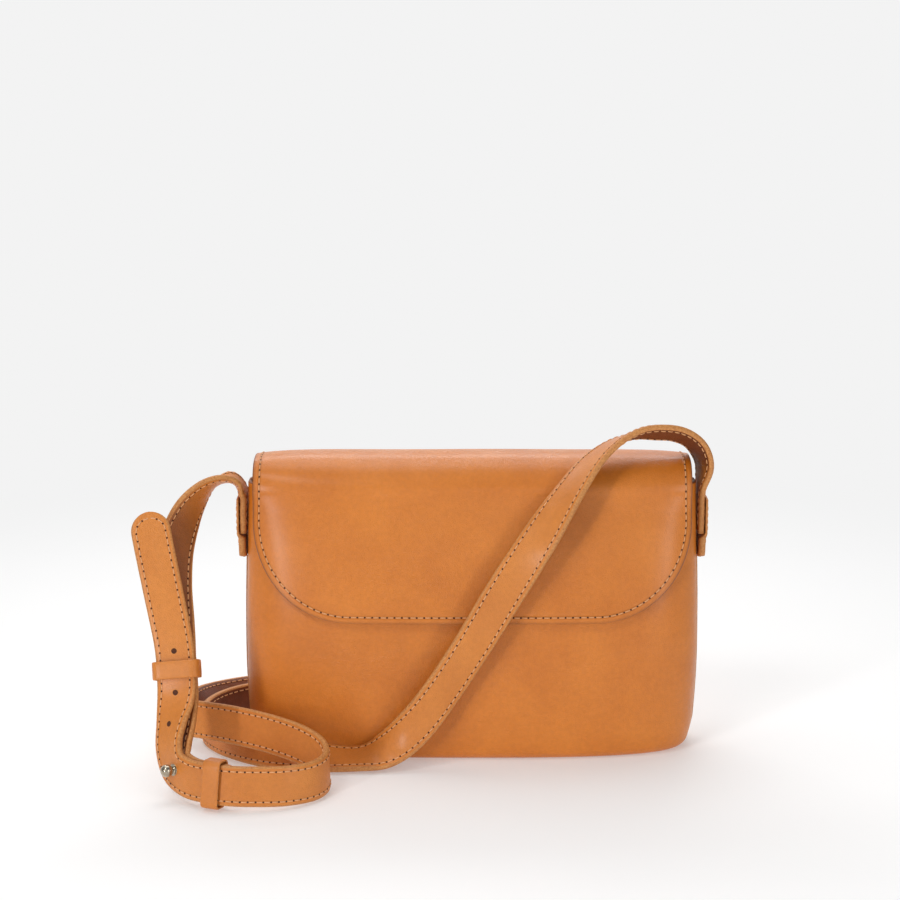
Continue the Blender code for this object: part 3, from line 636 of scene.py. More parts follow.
body_leather = leather_material("body_leather", TAN_LIGHT, TAN_DARK, 0.44)
flap_leather = leather_material("flap_leather", TAN_LIGHT, TAN_DARK, 0.42, edge_name="edge")
strap_leather = leather_material("strap_leather", STRAP_LIGHT, STRAP_DARK, 0.46)
strap_face = leather_material(
    "strap_face", STRAP_LIGHT, STRAP_DARK, 0.46, shade_name="shade", shade_colour=PAINTED_SHADE_COLOUR
)
backing_leather = leather_material(
    "strap_backing", STRAP_LIGHT, STRAP_DARK, 0.55, coat=0.03, shade_name="shade", shade_colour=PAINTED_SHADE_COLOUR
)
edge_leather = simple_material("cut_edge", RAW_LIGHT, RAW_DARK, 0.60, 900.0, 0.0002)
flap_edge = simple_material("flap_edge", RIM_LIGHT, RIM_DARK, 0.55, 900.0, 0.0002)
suede = simple_material("suede", SUEDE_LIGHT, SUEDE_DARK, 0.90, 260.0, 0.0004, sheen=0.25)
thread = simple_material("thread", THREAD_LIGHT, THREAD_DARK, 0.65, 2600.0, 0.0001)
hole_shade = simple_material("hole_shade", HOLE_LIGHT, HOLE_DARK, 0.90, 900.0, 0.0001)
board = simple_material("fibre_board", BOARD_LIGHT, BOARD_DARK, 0.85, 240.0, 0.0003)
antique = simple_material("antique_metal", ANTIQUE_LIGHT, ANTIQUE_DARK, 0.26, 330.0, 0.00005, 1.0)
nickel = simple_material("nickel", NICKEL_LIGHT, NICKEL_DARK, 0.30, 500.0, 0.00003, 1.0)


# ---- Straps ----
def strap_section(steps=4, columns=8):
    """Points round a strap's section as (across, out, kind): kind 0 is its face, 1 its back, 2 its edges."""
    corner = CUT_CORNER
    half_w, half_t = STRAP_WIDTH / 2, STRAP_THICKNESS / 2
    section = []
    for side in (1, -1):
        for k in range(columns + 1):
            share = side * mix(-1.0, 1.0, k / columns)
            u = share * (half_w - corner)
            crown = CROWN * (1.0 - share * share)
            section.append((u, side * (half_t + crown - CROWN), 0 if side > 0 else 1))
        for k in range(1, steps):
            angle = math.pi / 2 - math.pi * k / steps
            u = side * (half_w - corner + corner * math.cos(angle))
            v = math.copysign(abs(math.sin(angle)) ** 0.8, math.sin(angle))
            section.append((u, side * half_t * v, 2))
    return section


def tip_share(distance):
    radius = STRAP_WIDTH / 2
    if distance >= radius:
        return 1.0
    return max(math.sqrt(max(radius ** 2 - (radius - distance) ** 2, 0.0)) / radius, 0.10)


def make_strap(name, stitch_name, ribbon, shade_at):
    """A strap with a row of stitches round each face, its centre points and its length."""
    places, total = ribbon.measure(0.0, ribbon.last)
    length = total[-1]
    tip_start = length - STRAP_WIDTH / 2

    def spot(distance):
        return ribbon.place(float(np.interp(distance, total, places)))

    distances = list(np.linspace(0.0, length, round(length / 0.0022) + 1))
    distances += [length - STRAP_WIDTH / 2 * (1 - math.sin(math.radians(90.0 * k / 12))) for k in range(13)]
    distances = sorted({round(d, 6) for d in distances})
    section = strap_section()
    points, shades, centres = [], [], []
    for distance in distances:
        at = float(np.interp(distance, total, places))
        centre, _, across, outward = ribbon.place(at)
        centres.append(centre)
        share = tip_share(length - distance)
        for u, v, kind in section:
            points.append(centre + across * (u * share) + outward * v)
            shades.append(shade_at(at, kind))
    columns = len(section)
    faces = grid_faces(len(distances), columns, closed=True)
    indices = []
    for r in range(len(distances) - 1):
        for c in range(columns):
            kinds = {section[c][2], section[(c + 1) % columns][2]}
            indices.append(kinds.pop() if len(kinds) == 1 else 2)
    faces += end_caps(len(points), columns)
    indices += [2, 2]
    strap = add_mesh(name, points, faces, [strap_face, backing_leather, edge_leather], indices)
    add_attribute(strap, "shade", shades)

    stitches = Stitches()
    inset = STRAP_WIDTH / 2 - STRAP_STITCH_INSET
    lift = STRAP_THICKNESS / 2 - SEWN_LIFT
    reach = length - 0.0035 - tip_start
    stops = list(np.arange(0.004, tip_start, 0.0015))
    turns = [math.pi * k / 12 for k in range(1, 12)]
    path = [(distance, inset) for distance in stops]
    path += [(tip_start + reach * math.sin(turn), inset * math.cos(turn)) for turn in turns]
    path += [(distance, -inset) for distance in reversed(stops)]
    for face in (1.0, -1.0):
        run, normals = [], []
        for distance, side in path:
            centre, _, across, outward = spot(distance)
            run.append(centre + across * side + outward * (face * lift))
            normals.append(outward * face)
        stitches.line(run, normals)
    sewing = stitches.build(stitch_name)
    return strap, sewing, centres, length


def short_route(ribbon):
    """The short strap's own arc, then its stretch behind the long strap down to the stub."""
    places, total = ribbon.measure(SHORT_STUB_POINT, SHORT_JOIN_POINT, 4000)
    count = max(2, round(total[-1] / 0.0027))
    shared = []
    for k in range(count, -1, -1):
        at = float(np.interp(total[-1] * k / count, total, places))
        centre, _, across, outward = ribbon.place(at)
        bulge = max(0.0, 1.0 - ((at - BULGE_POINT) / BULGE_REACH) ** 2) ** 2
        behind = STRAP_THICKNESS + GAP + BULGE * bulge
        shared.append((tuple(centre - outward * behind), tuple(-across)))
    return list(SHORT_ROUTE) + shared


def long_shade(at, kind):
    """Painted shade on a face: darker inside the right arc and inside the loop behind the bag, where shade
    falls, but not on the coil.
    """
    if kind == 0:
        return 0.90 * smooth(29.0, 30.5, at) * (1.0 - smooth(35.2, 37.0, at))
    arc = smooth(2.4, 3.6, at) * (1.0 - smooth(10.0, 13.0, at))
    loop = smooth(20.0, 22.0, at) * (1.0 - smooth(28.5, 30.0, at))
    return 0.92 * max(arc, loop)


def short_shade(at, kind):
    """Painted shade: the face that shows inside the left arc is darkened, from the top of its bend down,
    where it lies in shade.
    """
    return 0.72 * smooth(4.4, 6.8, at) if kind == 0 else 0.0


long_ribbon = Ribbon(LONG_ROUTE)
short_ribbon = Ribbon(short_route(long_ribbon))
long_strap, long_sewing, long_path, long_length = make_strap(
    "long_strap_leather", "long_strap_stitches", long_ribbon, long_shade
)
short_strap, short_sewing, short_path, short_length = make_strap(
    "short_strap_leather", "short_strap_stitches", short_ribbon, short_shade
)


def make_strap_holes(name, ribbon, places):
    """The punched holes for the stud: a dark disc of painted shade in a raised ring, on both faces."""
    points, faces = [], []
    rings = (
        (0.0, 0.00005), (0.55, 0.00005), (0.95, 0.00005),
        (1.0, 0.00006), (1.25, 0.00010), (1.5, -0.00010),
    )
    for at in places:
        centre, along, across, outward = ribbon.place(at)
        for face in (1.0, -1.0):
            start = len(points)
            for share, lift in rings:
                for k in range(20):
                    angle = math.tau * k / 20
                    spread = across * math.cos(angle) * face + along * math.sin(angle)
                    height = STRAP_THICKNESS / 2 + lift
                    points.append(centre + spread * (share * HOLE_RADIUS) + outward * (face * height))
            for r in range(len(rings) - 1):
                for k in range(20):
                    j = (k + 1) % 20
                    a, b = start + r * 20, start + (r + 1) * 20
                    faces.append((a + k, b + k, b + j, a + j))
    indices = [0 if (i // 20) % 5 < 3 else 1 for i in range(len(faces))]
    return add_mesh(name, points, faces, [hole_shade, strap_leather], indices)


strap_holes = make_strap_holes("strap_holes", long_ribbon, HOLE_POINTS)


# ---- Keepers and stud ----
def frame_matrix(centre, across, along, outward):
    matrix = Matrix.Identity(4)
    for column, axis in enumerate((across, along, outward)):
        for row in range(3):
            matrix[row][column] = axis[row]
    matrix.translation = centre
    return matrix


def rounded_loop(half_w, half_h, radius, steps=6):
    """A rounded rectangle as (x, z, normal x, normal z)."""
    loop = []
    for corner in range(4):
        cx = (half_w - radius) * (1 if corner in (0, 3) else -1)
        cz = (half_h - radius) * (1 if corner in (0, 1) else -1)
        for k in range(steps + 1):
            angle = math.pi / 2 * (corner + k / steps)
            nx, nz = math.cos(angle), math.sin(angle)
            loop.append((cx + radius * nx, cz + radius * nz, nx, nz))
    dense = []
    for a, b in zip(loop, loop[1:] + loop[:1]):
        gap = math.hypot(b[0] - a[0], b[1] - a[1])
        parts = max(1, round(gap / 0.0020))
        dense += [tuple(mix(p, q, k / parts) for p, q in zip(a, b)) for k in range(parts)]
    return dense


def make_keeper(name, at):
    """A narrow leather band closed round both straps, its edges rounded."""
    centre, along, _, outward = long_ribbon.place(at)
    middle = centre - outward * ((STRAP_THICKNESS + GAP) / 2)
    matrix = frame_matrix(middle, outward.cross(along), along, outward)
    half_w = (STRAP_WIDTH + KEEPER_ROOM + KEEPER_WALL) / 2
    half_h = (2 * STRAP_THICKNESS + GAP + KEEPER_ROOM + KEEPER_WALL) / 2 + THREAD_ROOM
    loop = rounded_loop(half_w, half_h, KEEPER_CORNER)
    half_length = KEEPER_LENGTH / 2
    section = []
    for k in range(14):
        angle = math.tau * k / 14
        c, s = math.cos(angle), math.sin(angle)
        section.append((
            math.copysign(abs(c) ** 0.25, c) * half_length,
            math.copysign(abs(s) ** 0.7, s) * KEEPER_WALL / 2,
        ))
    points, faces, indices = [], [], []
    for x, z, nx, nz in loop:
        for y, out in section:
            points.append(matrix @ Vector((x + nx * out, y, z + nz * out)))
    count = len(section)
    for r in range(len(loop)):
        s = (r + 1) % len(loop)
        for c in range(count):
            d = (c + 1) % count
            faces.append((r * count + c, s * count + c, s * count + d, r * count + d))
            at_rim = min(abs(section[c][0]), abs(section[d][0])) >= half_length * 0.97
            indices.append(1 if at_rim else 0)
    return add_mesh(name, points, faces, [strap_leather, edge_leather], indices)


def make_turned(name, profile, matrix, material, segments=40):
    points = []
    for radius, height in profile:
        for k in range(segments):
            angle = math.tau * k / segments
            points.append(matrix @ Vector((radius * math.cos(angle), radius * math.sin(angle), height)))
    faces = []
    for r in range(len(profile) - 1):
        for k in range(segments):
            j = (k + 1) % segments
            a, b = r * segments, (r + 1) * segments
            faces.append((a + k, b + k, b + j, a + j))
    faces.append(tuple(range(segments)))
    faces.append(tuple(range(len(points) - 1, len(points) - segments - 1, -1)))
    return add_mesh(name, points, faces, [material], None, 35)


keeper_lower = make_keeper("keeper_lower_band", KEEPER_LOWER_POINT)
keeper_upper = make_keeper("keeper_upper_band", KEEPER_UPPER_POINT)
stud_centre, stud_along, stud_across, stud_outward = long_ribbon.place(STUD_POINT)
stud_matrix = frame_matrix(stud_centre, stud_across, stud_along, stud_outward)
face_height = STRAP_THICKNESS / 2
ball_height = face_height + STUD_NECK + STUD_RADIUS
ball_profile = []
for step in range(19):
    turn = math.radians(mix(89.0, -56.0, step / 18))
    ball_profile.append((STUD_RADIUS * math.cos(turn), ball_height + STUD_RADIUS * math.sin(turn)))
ball_profile += [
    (POST_RADIUS, face_height + STUD_NECK),
    (POST_RADIUS + 0.0004, face_height + 0.0003),
    (POST_RADIUS + 0.0012, face_height + 0.00025),
    (POST_RADIUS + 0.0013, face_height + 0.00002),
    (POST_RADIUS, face_height - 0.0002),
    (POST_RADIUS, -face_height),
]
stud_ball = make_turned("stud_ball_fine", ball_profile, stud_matrix, antique)
screw_top = -face_height - GAP - STRAP_THICKNESS - STUD_SPACE - GAP
screw_profile = [
    (POST_RADIUS, -face_height - GAP),
    (POST_RADIUS, screw_top),
    (0.0037, screw_top),
    (0.0040, screw_top - 0.0002),
    (0.0040, screw_top - 0.0006),
    (0.0036, screw_top - 0.0009),
    (0.0010, screw_top - 0.0010),
]
stud_screw = make_turned("stud_screw_fine", screw_profile, stud_matrix, antique)


# ---- Body ----
def ripple(x, z):
    """The leather's slight unevenness, within a third of a millimetre."""
    wave = math.sin(37.0 * x + 1.3) * math.sin(52.0 * z + 0.4) + 0.6 * math.sin(81.0 * x - 44.0 * z + 2.0)
    return 0.00018 * wave


def panel_grid(side, distance, columns, wall_steps, roll_steps):
    points = []
    for k in range(roll_steps + wall_steps + 1):
        if k < roll_steps:
            angle = math.radians(90.0 * k / roll_steps)
            z, inset = ROLL * (1 - math.cos(angle)), ROLL * (1 - math.sin(angle))
        else:
            z, inset = mix(ROLL, PANEL_TOP, (k - roll_steps) / wall_steps), 0.0
        half_width, half_depth = body_size(z)
        for c in range(columns):
            turn = side * math.pi * mix(1.0, 0.0, c / (columns - 1))
            x, y = outline_point(turn, half_width - inset, half_depth - inset, z)
            points.append(np.array((x, y + side * SEAM_HALF, z)))
    points = np.array(points)
    grid = points.reshape(-1, columns, 3)
    normal = grid_normals(grid, side)
    lift = np.array([ripple(p[0], p[2]) for p in points]).reshape(grid.shape[:2])
    lift *= np.clip((grid[..., 2] - 0.004) / 0.02, 0.0, 1.0)
    lift *= np.clip((0.1235 - np.abs(grid[..., 0])) / 0.01, 0.0, 1.0)
    return (grid + normal * (lift[..., None] - distance)).reshape(-1, 3)


def make_panel(name, side):
    columns = 121
    front = panel_grid(side, 0.0, columns, 56, 8)
    back = panel_grid(side, LEATHER, columns, 56, 8)
    if side > 0:
        front = flipped(front, columns)
        back = flipped(back, columns)
    panel, _, _ = shell(name, front, back, columns, [body_leather, flap_edge, suede])
    return panel


front_panel = make_panel("front_leather", -1)
back_panel = make_panel("back_leather", 1)


def make_outline_plate(name, inset, bottom, top, materials, soft):
    """A flat plate to the body's footprint, with its rim rounded."""
    half_width, half_depth = body_size(0.0)
    count = 160
    width, depth = half_width - inset, half_depth - inset
    outline = [outline_point(math.tau * k / count, width, depth) for k in range(count)]
    levels = (
        (bottom, None), (bottom, soft), (bottom + soft * 0.5, 0.0),
        (top - soft * 0.5, 0.0), (top, soft), (top, None),
    )
    points = []
    for z, pull in levels:
        for x, y in outline:
            if pull is None:
                points.append((x * 0.5, y * 0.5, z))
            else:
                points.append((x * (1 - pull / half_width), y * (1 - pull / half_depth), z))
    faces = grid_faces(len(levels), count, closed=True) + end_caps(len(points), count)
    return add_mesh(name, points, faces, materials, None, 50)


base_panel = make_outline_plate("base_leather", ROLL + 0.0006, 0.0, LEATHER, [body_leather], 0.0008)


def make_lining():
    columns = 161
    levels = []
    for k in range(8):
        angle = math.radians(90.0 * k / 7)
        z = LINING_FLOOR + LINING_ROLL * (1 - math.cos(angle))
        levels.append((z, LINING_INSET + LINING_ROLL * (1 - math.sin(angle))))
    for k in range(1, 41):
        levels.append((mix(LINING_FLOOR + LINING_ROLL, LINING_TOP, k / 40), LINING_INSET))
    outer, inner = [], []
    for z, inset in levels:
        half_width, half_depth = body_size(z)
        for c in range(columns):
            angle = math.tau * c / (columns - 1)
            x, y = outline_point(angle, half_width - inset, half_depth - inset, z)
            outer.append((x, y, z))
            wave = 0.5 + 0.5 * math.sin(9.0 * angle + 60.0 * z)
            fold = LINING + 0.0004 * wave * min(1.0, (z - 0.004) / 0.02)
            x, y = outline_point(angle, half_width - inset - fold, half_depth - inset - fold, z)
            inner.append((x, y, z + (LINING if inset > LINING_INSET else 0.0)))
    lining, _, _ = shell("lining_suede", inner, outer, columns, [suede, suede])
    floor = make_outline_plate("lining_floor", 0.0096, LINING_FLOOR, LINING_FLOOR + LINING, [suede], 0.0003)
    return lining, floor


lining, lining_floor = make_lining()


def make_pocket():
    """A slip pocket with rounded lower corners and a stitched hem."""
    columns, rows = 61, 41
    front, back = [], []
    stitches = Stitches()
    for r in range(rows):
        z = mix(POCKET_BOTTOM, POCKET_TOP, r / (rows - 1))
        y = body_size(z)[1] - LINING_INSET - LINING - 0.0035
        drop = max(0.0, POCKET_CORNER - (z - POCKET_BOTTOM))
        half = POCKET_HALF_WIDTH - POCKET_CORNER + math.sqrt(max(POCKET_CORNER ** 2 - drop ** 2, 0.0))
        for c in range(columns):
            x = mix(-half, half, c / (columns - 1))
            front.append((x, y - POCKET_THICKNESS, z))
            back.append((x, y, z))
    pocket, _, _ = shell("pocket_suede", front, back, columns, [suede, suede])
    hem_y = body_size(POCKET_HEM)[1] - 0.0091
    hem = [(mix(-0.066, 0.066, k / 40), hem_y, POCKET_HEM) for k in range(41)]
    stitches.line(hem, [(0.0, -1.0, 0.0)] * 41)
    return pocket, stitches.build("pocket_stitches")


pocket, pocket_sewing = make_pocket()


def make_welt(name, side):
    """The folded seam edge that stands out of each side, with a rounded rim."""
    points = []
    section = (
        (-0.0016, -1.0), (0.0009, -1.0), (0.0012, -0.5), (0.0013, 0.0),
        (0.0012, 0.5), (0.0009, 1.0), (-0.0016, 1.0),
    )
    levels = 60
    for k in range(levels):
        z = mix(0.0045, TAB_BOTTOM - 0.0006, k / (levels - 1))
        half_width, _ = body_size(z)
        inset = ROLL - math.sqrt(max(ROLL ** 2 - (ROLL - min(z, ROLL)) ** 2, 0.0))
        for out, across in section:
            points.append((side * (half_width - inset + out), across * WELT_HALF_THICKNESS, z))
    count = len(section)
    faces = grid_faces(levels, count, closed=True) + end_caps(len(points), count)
    if side < 0:
        faces = [face[::-1] for face in faces]
    return add_mesh(name, points, faces, [edge_leather], None, 60)


welt_left = make_welt("welt_left", -1)
welt_right = make_welt("welt_right", 1)


# ---- Flap ----
def flap_profile():
    crown = [
        (*FLAP_START, 0.0),
        (0.0120, 0.1603, 0.0),
        (0.0060, 0.1615, 0.05),
        (-0.0010, 0.1616, 0.1),
        (-0.0090, 0.1600, 0.25),
        (-0.0155, 0.1560, 0.5),
    ]
    front = []
    for k in range(17):
        z = mix(0.1500, FLAP_BOTTOM, k / 16)
        front.append((-body_size(z)[1] - SEAM_HALF, z, min(1.0, 0.75 + k / 12)))
    return [Vector(row) for row in crown + front]


def flap_half_width(z):
    drop = FLAP_BOTTOM + FLAP_CORNER - z
    if drop <= 0.0:
        return FLAP_HALF_WIDTH
    drop = min(drop, FLAP_CORNER)
    return FLAP_HALF_WIDTH - FLAP_CORNER + math.sqrt(FLAP_CORNER ** 2 - drop ** 2)


def flap_levels():
    profile = flap_profile()
    last = len(profile) - 1
    corner_start = 11.0
    places = list(np.arange(0.0, corner_start, 0.22))
    for k in range(49):
        places.append(mix(corner_start, last, math.sin(math.radians(90.0 * k / 48))))
    return [catmull(profile, place) for place in places]


def flap_grid(distance, trim=0.0, uneven=True):
    levels = flap_levels()
    points = []
    for i, (y, z, bend) in enumerate(levels):
        before = levels[max(i - 1, 0)]
        after = levels[min(i + 1, len(levels) - 1)]
        dy, dz = after[0] - before[0], after[1] - before[1]
        length = math.hypot(dy, dz)
        normal_y, normal_z = dz / length, -dy / length
        half = flap_half_width(z) - trim
        for c in range(FLAP_COLUMNS):
            x = half * math.sin(math.radians(mix(-90.0, 90.0, c / (FLAP_COLUMNS - 1))))
            ease = (1.0 - (abs(x) / FLAP_CORNER_WIDTH) ** CORNER_POWER) ** (1.0 / CORNER_POWER)
            pull = mix(1.0, ease, bend) if y < 0.0 else 1.0
            droop = FLAP_DROOP * (1.0 - bend) * (abs(x) / half) ** 8
            out = distance
            if uneven:
                out += ripple(x * 0.8, z + y) * 0.8
            points.append((x, y * pull + normal_y * out, z + normal_z * out - droop))
    return np.array(points)


def edge_distance(points, columns):
    """Distance of each point from the flap's free edge: its sides and its bottom."""
    grid = points.reshape(-1, columns, 3)
    rim = np.concatenate([grid[:, 0], grid[-1], grid[::-1, -1]])
    dense = [rim[0]]
    for a, b in zip(rim, rim[1:]):
        parts = max(1, int(np.linalg.norm(b - a) / 0.0006))
        dense += [a + (b - a) * (k + 1) / parts for k in range(parts)]
    dense = np.array(dense)
    result = np.empty(len(points))
    for start in range(0, len(points), 1500):
        block = points[start:start + 1500]
        result[start:start + 1500] = np.sqrt(((block[:, None] - dense[None]) ** 2).sum(2).min(1))
    return result


flap_front = flap_grid(FLAP_CLEARANCE)
flap_back = flap_grid(FLAP_CLEARANCE - FLAP_LEATHER, uneven=False)
flap_outer, flap_count, flap_total = shell(
    "flap_leather_outer", flap_front, flap_back, FLAP_COLUMNS, [flap_leather, flap_edge, suede]
)
edge_values = edge_distance(flap_front, FLAP_COLUMNS)
rim_count = flap_total - 2 * flap_count
add_attribute(flap_outer, "edge", [*edge_values, *([0.02] * flap_count), *([0.0] * rim_count)])
lining_top_distance = FLAP_CLEARANCE - FLAP_LEATHER - GAP
flap_lining, _, _ = shell(
    "flap_suede",
    flap_grid(lining_top_distance, 0.0006, False),
    flap_grid(lining_top_distance - FLAP_LINING, 0.0006, False),
    FLAP_COLUMNS,
    [suede, flap_edge],
)


def inset_line(points, columns, inset):
    """Points on the sheet at an inset from its free edge, with their outward directions."""
    grid = points.reshape(-1, columns, 3)
    rows = len(grid)
    normal = grid_normals(grid, -1)
    distance = edge_distance(points, columns).reshape(rows, columns)
    middle = columns // 2

    def crossing(row, inward):
        """The place in a row where the distance first passes the inset, counted from its end."""
        order = range(0, middle) if inward > 0 else range(columns - 1, middle, -1)
        for c in order:
            d = c + inward
            if distance[row, c] <= inset < distance[row, d]:
                t = (inset - distance[row, c]) / (distance[row, d] - distance[row, c])
                return mix(grid[row, c], grid[row, d], t), mix(normal[row, c], normal[row, d], t)
        return None

    left = [found for found in (crossing(r, 1) for r in range(1, rows)) if found]
    right = [found for found in (crossing(r, -1) for r in range(1, rows)) if found]
    bottom = []
    for c in range(columns):
        column = distance[:, c]
        for r in range(rows - 1, rows // 2, -1):
            if column[r] <= inset < column[r - 1]:
                t = (inset - column[r]) / (column[r - 1] - column[r])
                bottom.append((mix(grid[r, c], grid[r - 1, c], t), mix(normal[r, c], normal[r - 1, c], t)))
                break
    lowest = min(p[2] for p, _ in bottom)
    flat = [item for item in bottom if item[0][2] < lowest + 0.0012]
    limit = max(item[0][2] for item in flat)
    left = [item for item in left if item[0][2] > limit]
    right = [item for item in right if item[0][2] > limit]
    return left + flat + right[::-1]


flap_stitches = Stitches()
stitch_run = inset_line(flap_front, FLAP_COLUMNS, FLAP_STITCH_INSET)
flap_stitches.line([p + n * SEWN_LIFT for p, n in stitch_run], [n for _, n in stitch_run])
flap_sewing = flap_stitches.build("flap_stitches")


def make_root():
    """The strip that holds the flap to the back, its edges rounded and stitched in two rows."""
    columns, rows = 121, 25
    front, back = [], []

    def surface(x, z):
        half_width, half_depth = body_size(z)
        ease = (1.0 - (abs(x) / half_width) ** CORNER_POWER) ** (1.0 / CORNER_POWER)
        return half_depth * ease + SEAM_HALF + ROOT_OUT - 0.0012 * max(0.0, (z - 0.150) / 0.005)

    for r in range(rows):
        z = mix(ROOT_BOTTOM, ROOT_TOP, r / (rows - 1))
        for c in range(columns):
            x = ROOT_HALF_WIDTH * math.sin(math.radians(mix(90.0, -90.0, c / (columns - 1))))
            y = surface(x, z)
            front.append((x, y, z))
            back.append((x, y - ROOT_THICKNESS, z))
    strip, _, _ = shell("root_strip", front, back, columns, [body_leather, edge_leather])
    stitches = Stitches()
    for z in (0.1368, 0.1475):
        run = [(x, surface(x, z), z) for x in np.linspace(-0.108, 0.108, 90)]
        normals = []
        for x, y, _ in run:
            slope = (surface(x + 0.001, z) - surface(x - 0.001, z)) / 0.002
            normals.append((-slope, 1.0, 0.25))
        stitches.line(run, normals)
    return strip, stitches.build("root_stitches")


root_strip, root_sewing = make_root()


def make_fold():
    """The flexible leather between the strip and the flap."""
    path = (
        (0.0186, 0.1480), (0.0186, 0.1530), (0.0187, 0.1565),
        (0.0184, 0.1592), (0.0165, 0.1610), (0.0125, 0.1627),
    )
    points = [Vector((y, z, 0.0)) for y, z in path]
    columns, rows = 61, 21
    outer, inner = [], []
    for r in range(rows):
        at = (len(points) - 1) * r / (rows - 1)
        place = catmull(points, at)
        ahead = catmull(points, at + 0.05)
        behind = catmull(points, at - 0.05)
        dy, dz = ahead[0] - behind[0], ahead[1] - behind[1]
        length = math.hypot(dy, dz)
        ny, nz = dz / length, -dy / length
        for c in range(columns):
            x = mix(FOLD_HALF_WIDTH, -FOLD_HALF_WIDTH, c / (columns - 1))
            share = abs(x) / FLAP_HALF_WIDTH
            above = smooth(0.150, 0.158, place[1])
            droop = FLAP_DROOP * share ** 8 * above
            tuck = 0.0016 * share ** 4 * (1.0 - above)
            for points_side, out in ((outer, FOLD_HALF_THICKNESS), (inner, -FOLD_HALF_THICKNESS)):
                points_side.append((x, place[0] + ny * out - tuck, place[1] + nz * out - droop))
    fold, _, _ = shell("hinge_fold", outer, inner, columns, [body_leather, flap_edge])
    return fold


hinge_fold = make_fold()


# ---- Tabs ----
def make_tab(name, stitch_name, side):
    """The tab over a strap's sewn end: domed leather with a rounded foot and a box of stitches."""
    inner = body_size(TAB_BOTTOM)[0] + GAP
    step = STRAP_SEAT_X + STRAP_THICKNESS / 2 + 2 * GAP
    outer = step + TAB_THICKNESS
    columns, rows = 25, 41
    front, back = [], []

    def surface(y, z):
        settle = smooth(0.1225, 0.1185, z) * 0.0009
        dome = 0.0003 * (1.0 - (y / TAB_HALF_WIDTH) ** 2)
        return outer - settle + dome - 0.0003

    for r in range(rows):
        z = mix(TAB_BOTTOM, TAB_TOP, r / (rows - 1))
        foot = max(0.0, TAB_CORNER - (z - TAB_BOTTOM))
        half = TAB_HALF_WIDTH - TAB_CORNER + math.sqrt(max(TAB_CORNER ** 2 - foot ** 2, 0.0))
        floor = mix(inner + 0.0004, step, smooth(0.1190, 0.1225, z))
        for c in range(columns):
            y = mix(-half, half, c / (columns - 1))
            front.append((side * surface(y, z), y, z))
            back.append((side * floor, y, z))
    if side < 0:
        front = flipped(front, columns)
        back = flipped(back, columns)
    tab, _, _ = shell(name, front, back, columns, [strap_leather, edge_leather])
    stitches = Stitches()
    corners = (
        (-0.0078, 0.1375), (-0.0078, 0.1160), (0.0, 0.1112),
        (0.0078, 0.1160), (0.0078, 0.1375), (-0.0078, 0.1375),
    )
    run = []
    for (y0, z0), (y1, z1) in zip(corners, corners[1:]):
        run += [(mix(y0, y1, k / 8), mix(z0, z1, k / 8)) for k in range(8)]
    run.append(corners[-1])
    stitches.line([(side * surface(y, z), y, z) for y, z in run], [(side, 0.0, 0.0)] * len(run), 0.0036)
    return tab, stitches.build(stitch_name)


tab_left, tab_left_sewing = make_tab("tab_left", "tab_left_stitches", -1)
tab_right, tab_right_sewing = make_tab("tab_right", "tab_right_stitches", 1)

# ---- Bodies, materials of kept nodes and replaced nodes ----
REPLACED = {
    "front_panel": front_panel,
    "back_panel": back_panel,
    "base_panel": base_panel,
    "lining": lining,
    "inner_pocket": pocket,
    "side_welt_left": welt_left,
    "side_welt_right": welt_right,
    "flap_root_strip": root_strip,
    "flap_outer": flap_outer,
    "flap_lining": flap_lining,
    "strap_tab_left": tab_left,
    "strap_tab_right": tab_right,
    "long_strap": long_strap,
    "short_strap": short_strap,
    "keeper_lower": keeper_lower,
    "keeper_upper": keeper_upper,
    "stud_ball": stud_ball,
    "stud_screw": stud_screw,
}
for node_name, piece in REPLACED.items():
    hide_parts(node_name)

RIDES = {
    "body": [
        front_panel, back_panel, base_panel, lining, lining_floor, pocket, pocket_sewing,
        welt_left, welt_right, root_strip, root_sewing, tab_left, tab_left_sewing, tab_right,
        tab_right_sewing, long_strap, long_sewing, strap_holes, short_strap, short_sewing,
        stud_ball, stud_screw,
    ],
    "flap": [flap_outer, flap_lining, flap_sewing],
    "upper_keeper": [keeper_upper],
    "lower_keeper": [keeper_lower],
}
for body, pieces in RIDES.items():
    for piece in pieces:
        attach(piece, body)
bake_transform(hinge_fold)

KEPT_NODES = (
    ("base_stiffener", board, "stiffener_board"),
    ("closure_magnet", nickel, "closure_metal"),
    ("flap_catch_plate", nickel, "closure_metal"),
)
for node_name, material, slot_name in KEPT_NODES:
    node = nodes[node_name]
    node.data.materials.clear()
    node.data.materials.append(material)


# ---- Studio ----
FLOOR_LEVEL = 0.896
FLOOR_GLOW = 0.26
FLOOR_ALBEDO = 0.74


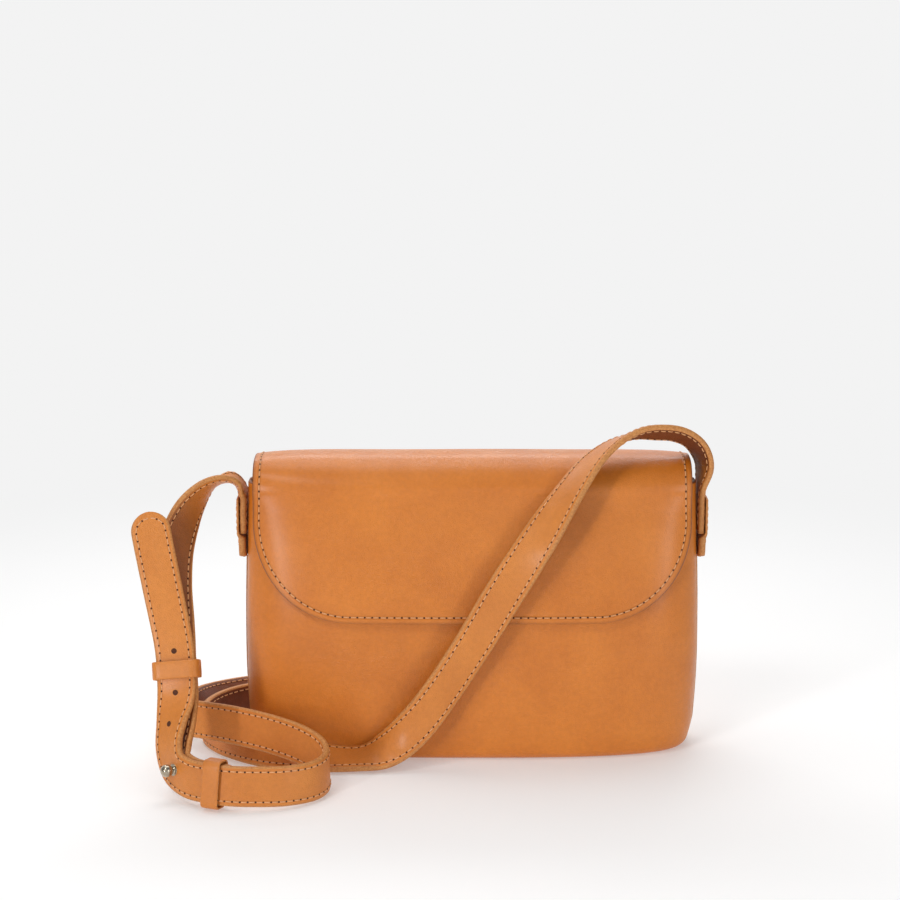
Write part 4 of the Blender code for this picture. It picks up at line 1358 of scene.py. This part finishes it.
def floor_material():
    """White that takes soft shadows near the object and glows evenly further out."""
    material, tree, shader = new_material("white_floor")
    geometry = tree.nodes.new("ShaderNodeNewGeometry")
    length = tree.nodes.new("ShaderNodeVectorMath")
    length.operation = "LENGTH"
    tree.links.new(geometry.outputs["Position"], length.inputs[0])
    far = tree.nodes.new("ShaderNodeMapRange")
    far.interpolation_type = "SMOOTHSTEP"
    far.inputs["From Min"].default_value = 0.22
    far.inputs["From Max"].default_value = 0.75
    tree.links.new(length.outputs["Value"], far.inputs["Value"])
    colour = blend_colour(tree, far.outputs["Result"], (FLOOR_ALBEDO,) * 3, (0.0, 0.0, 0.0))
    added = maths(tree, "MULTIPLY", far.outputs["Result"], FLOOR_LEVEL - FLOOR_GLOW)
    glow = maths(tree, "ADD", added, FLOOR_GLOW)
    tree.links.new(colour, shader.inputs["Base Color"])
    tree.links.new(glow, shader.inputs["Emission Strength"])
    shader.inputs["Emission Color"].default_value = (1.0, 1.0, 1.0, 1.0)
    shader.inputs["Roughness"].default_value = 1.0
    shader.inputs["Specular IOR Level"].default_value = 0.0
    return material


def make_floor():
    """A white floor that curves up into a backdrop."""
    profile = [(-3.0, 0.0), (-1.0, 0.0), (0.0, 0.0), (1.0, 0.0)]
    for k in range(1, 13):
        angle = math.radians(90.0 * k / 12)
        profile.append((1.0 + 1.2 * math.sin(angle), 1.2 * (1 - math.cos(angle))))
    profile.append((2.2, 4.0))
    points = [(x, y, z - 0.0003) for y, z in profile for x in (-4.0, 4.0)]
    faces = grid_faces(len(profile), 2)
    return add_mesh("studio_floor", points, faces, [floor_material()])


def add_area(name, location, target, size, energy):
    data = bpy.data.lights.new(name, "AREA")
    data.shape = "RECTANGLE"
    data.size, data.size_y = size
    data.energy = energy
    light = bpy.data.objects.new(name, data)
    light.location = location
    light.rotation_euler = (Vector(target) - Vector(location)).to_track_quat("-Z", "Y").to_euler()
    scene.collection.objects.link(light)


floor = make_floor()
world = bpy.data.worlds.new("studio_world")
world.use_nodes = True
background = world.node_tree.nodes["Background"]
background.inputs["Color"].default_value = (1.0, 1.0, 1.0, 1.0)
background.inputs["Strength"].default_value = 0.22
scene.world = world
add_area("key", (-0.55, -0.95, 1.30), (0.0, 0.0, 0.08), (0.45, 0.36), 4.8)
add_area("top", (-0.1, 0.20, 1.30), (0.0, 0.0, 0.1), (1.2, 0.6), 5.5)
add_area("rear", (-0.1, 0.85, 0.95), (0.0, 0.0, 0.15), (1.1, 0.25), 4.5)
add_area("fill", (0.35, -1.5, 0.55), (0.0, 0.0, 0.06), (1.0, 0.7), 1.8)
add_area("left_strip", (-0.70, -0.98, 0.26), (-0.08, 0.0, 0.06), (0.07, 0.45), 3.8)
add_area("right_strip", (0.72, -0.92, 0.26), (0.08, 0.0, 0.06), (0.07, 0.45), 2.2)
scene.view_settings.view_transform = "Standard"
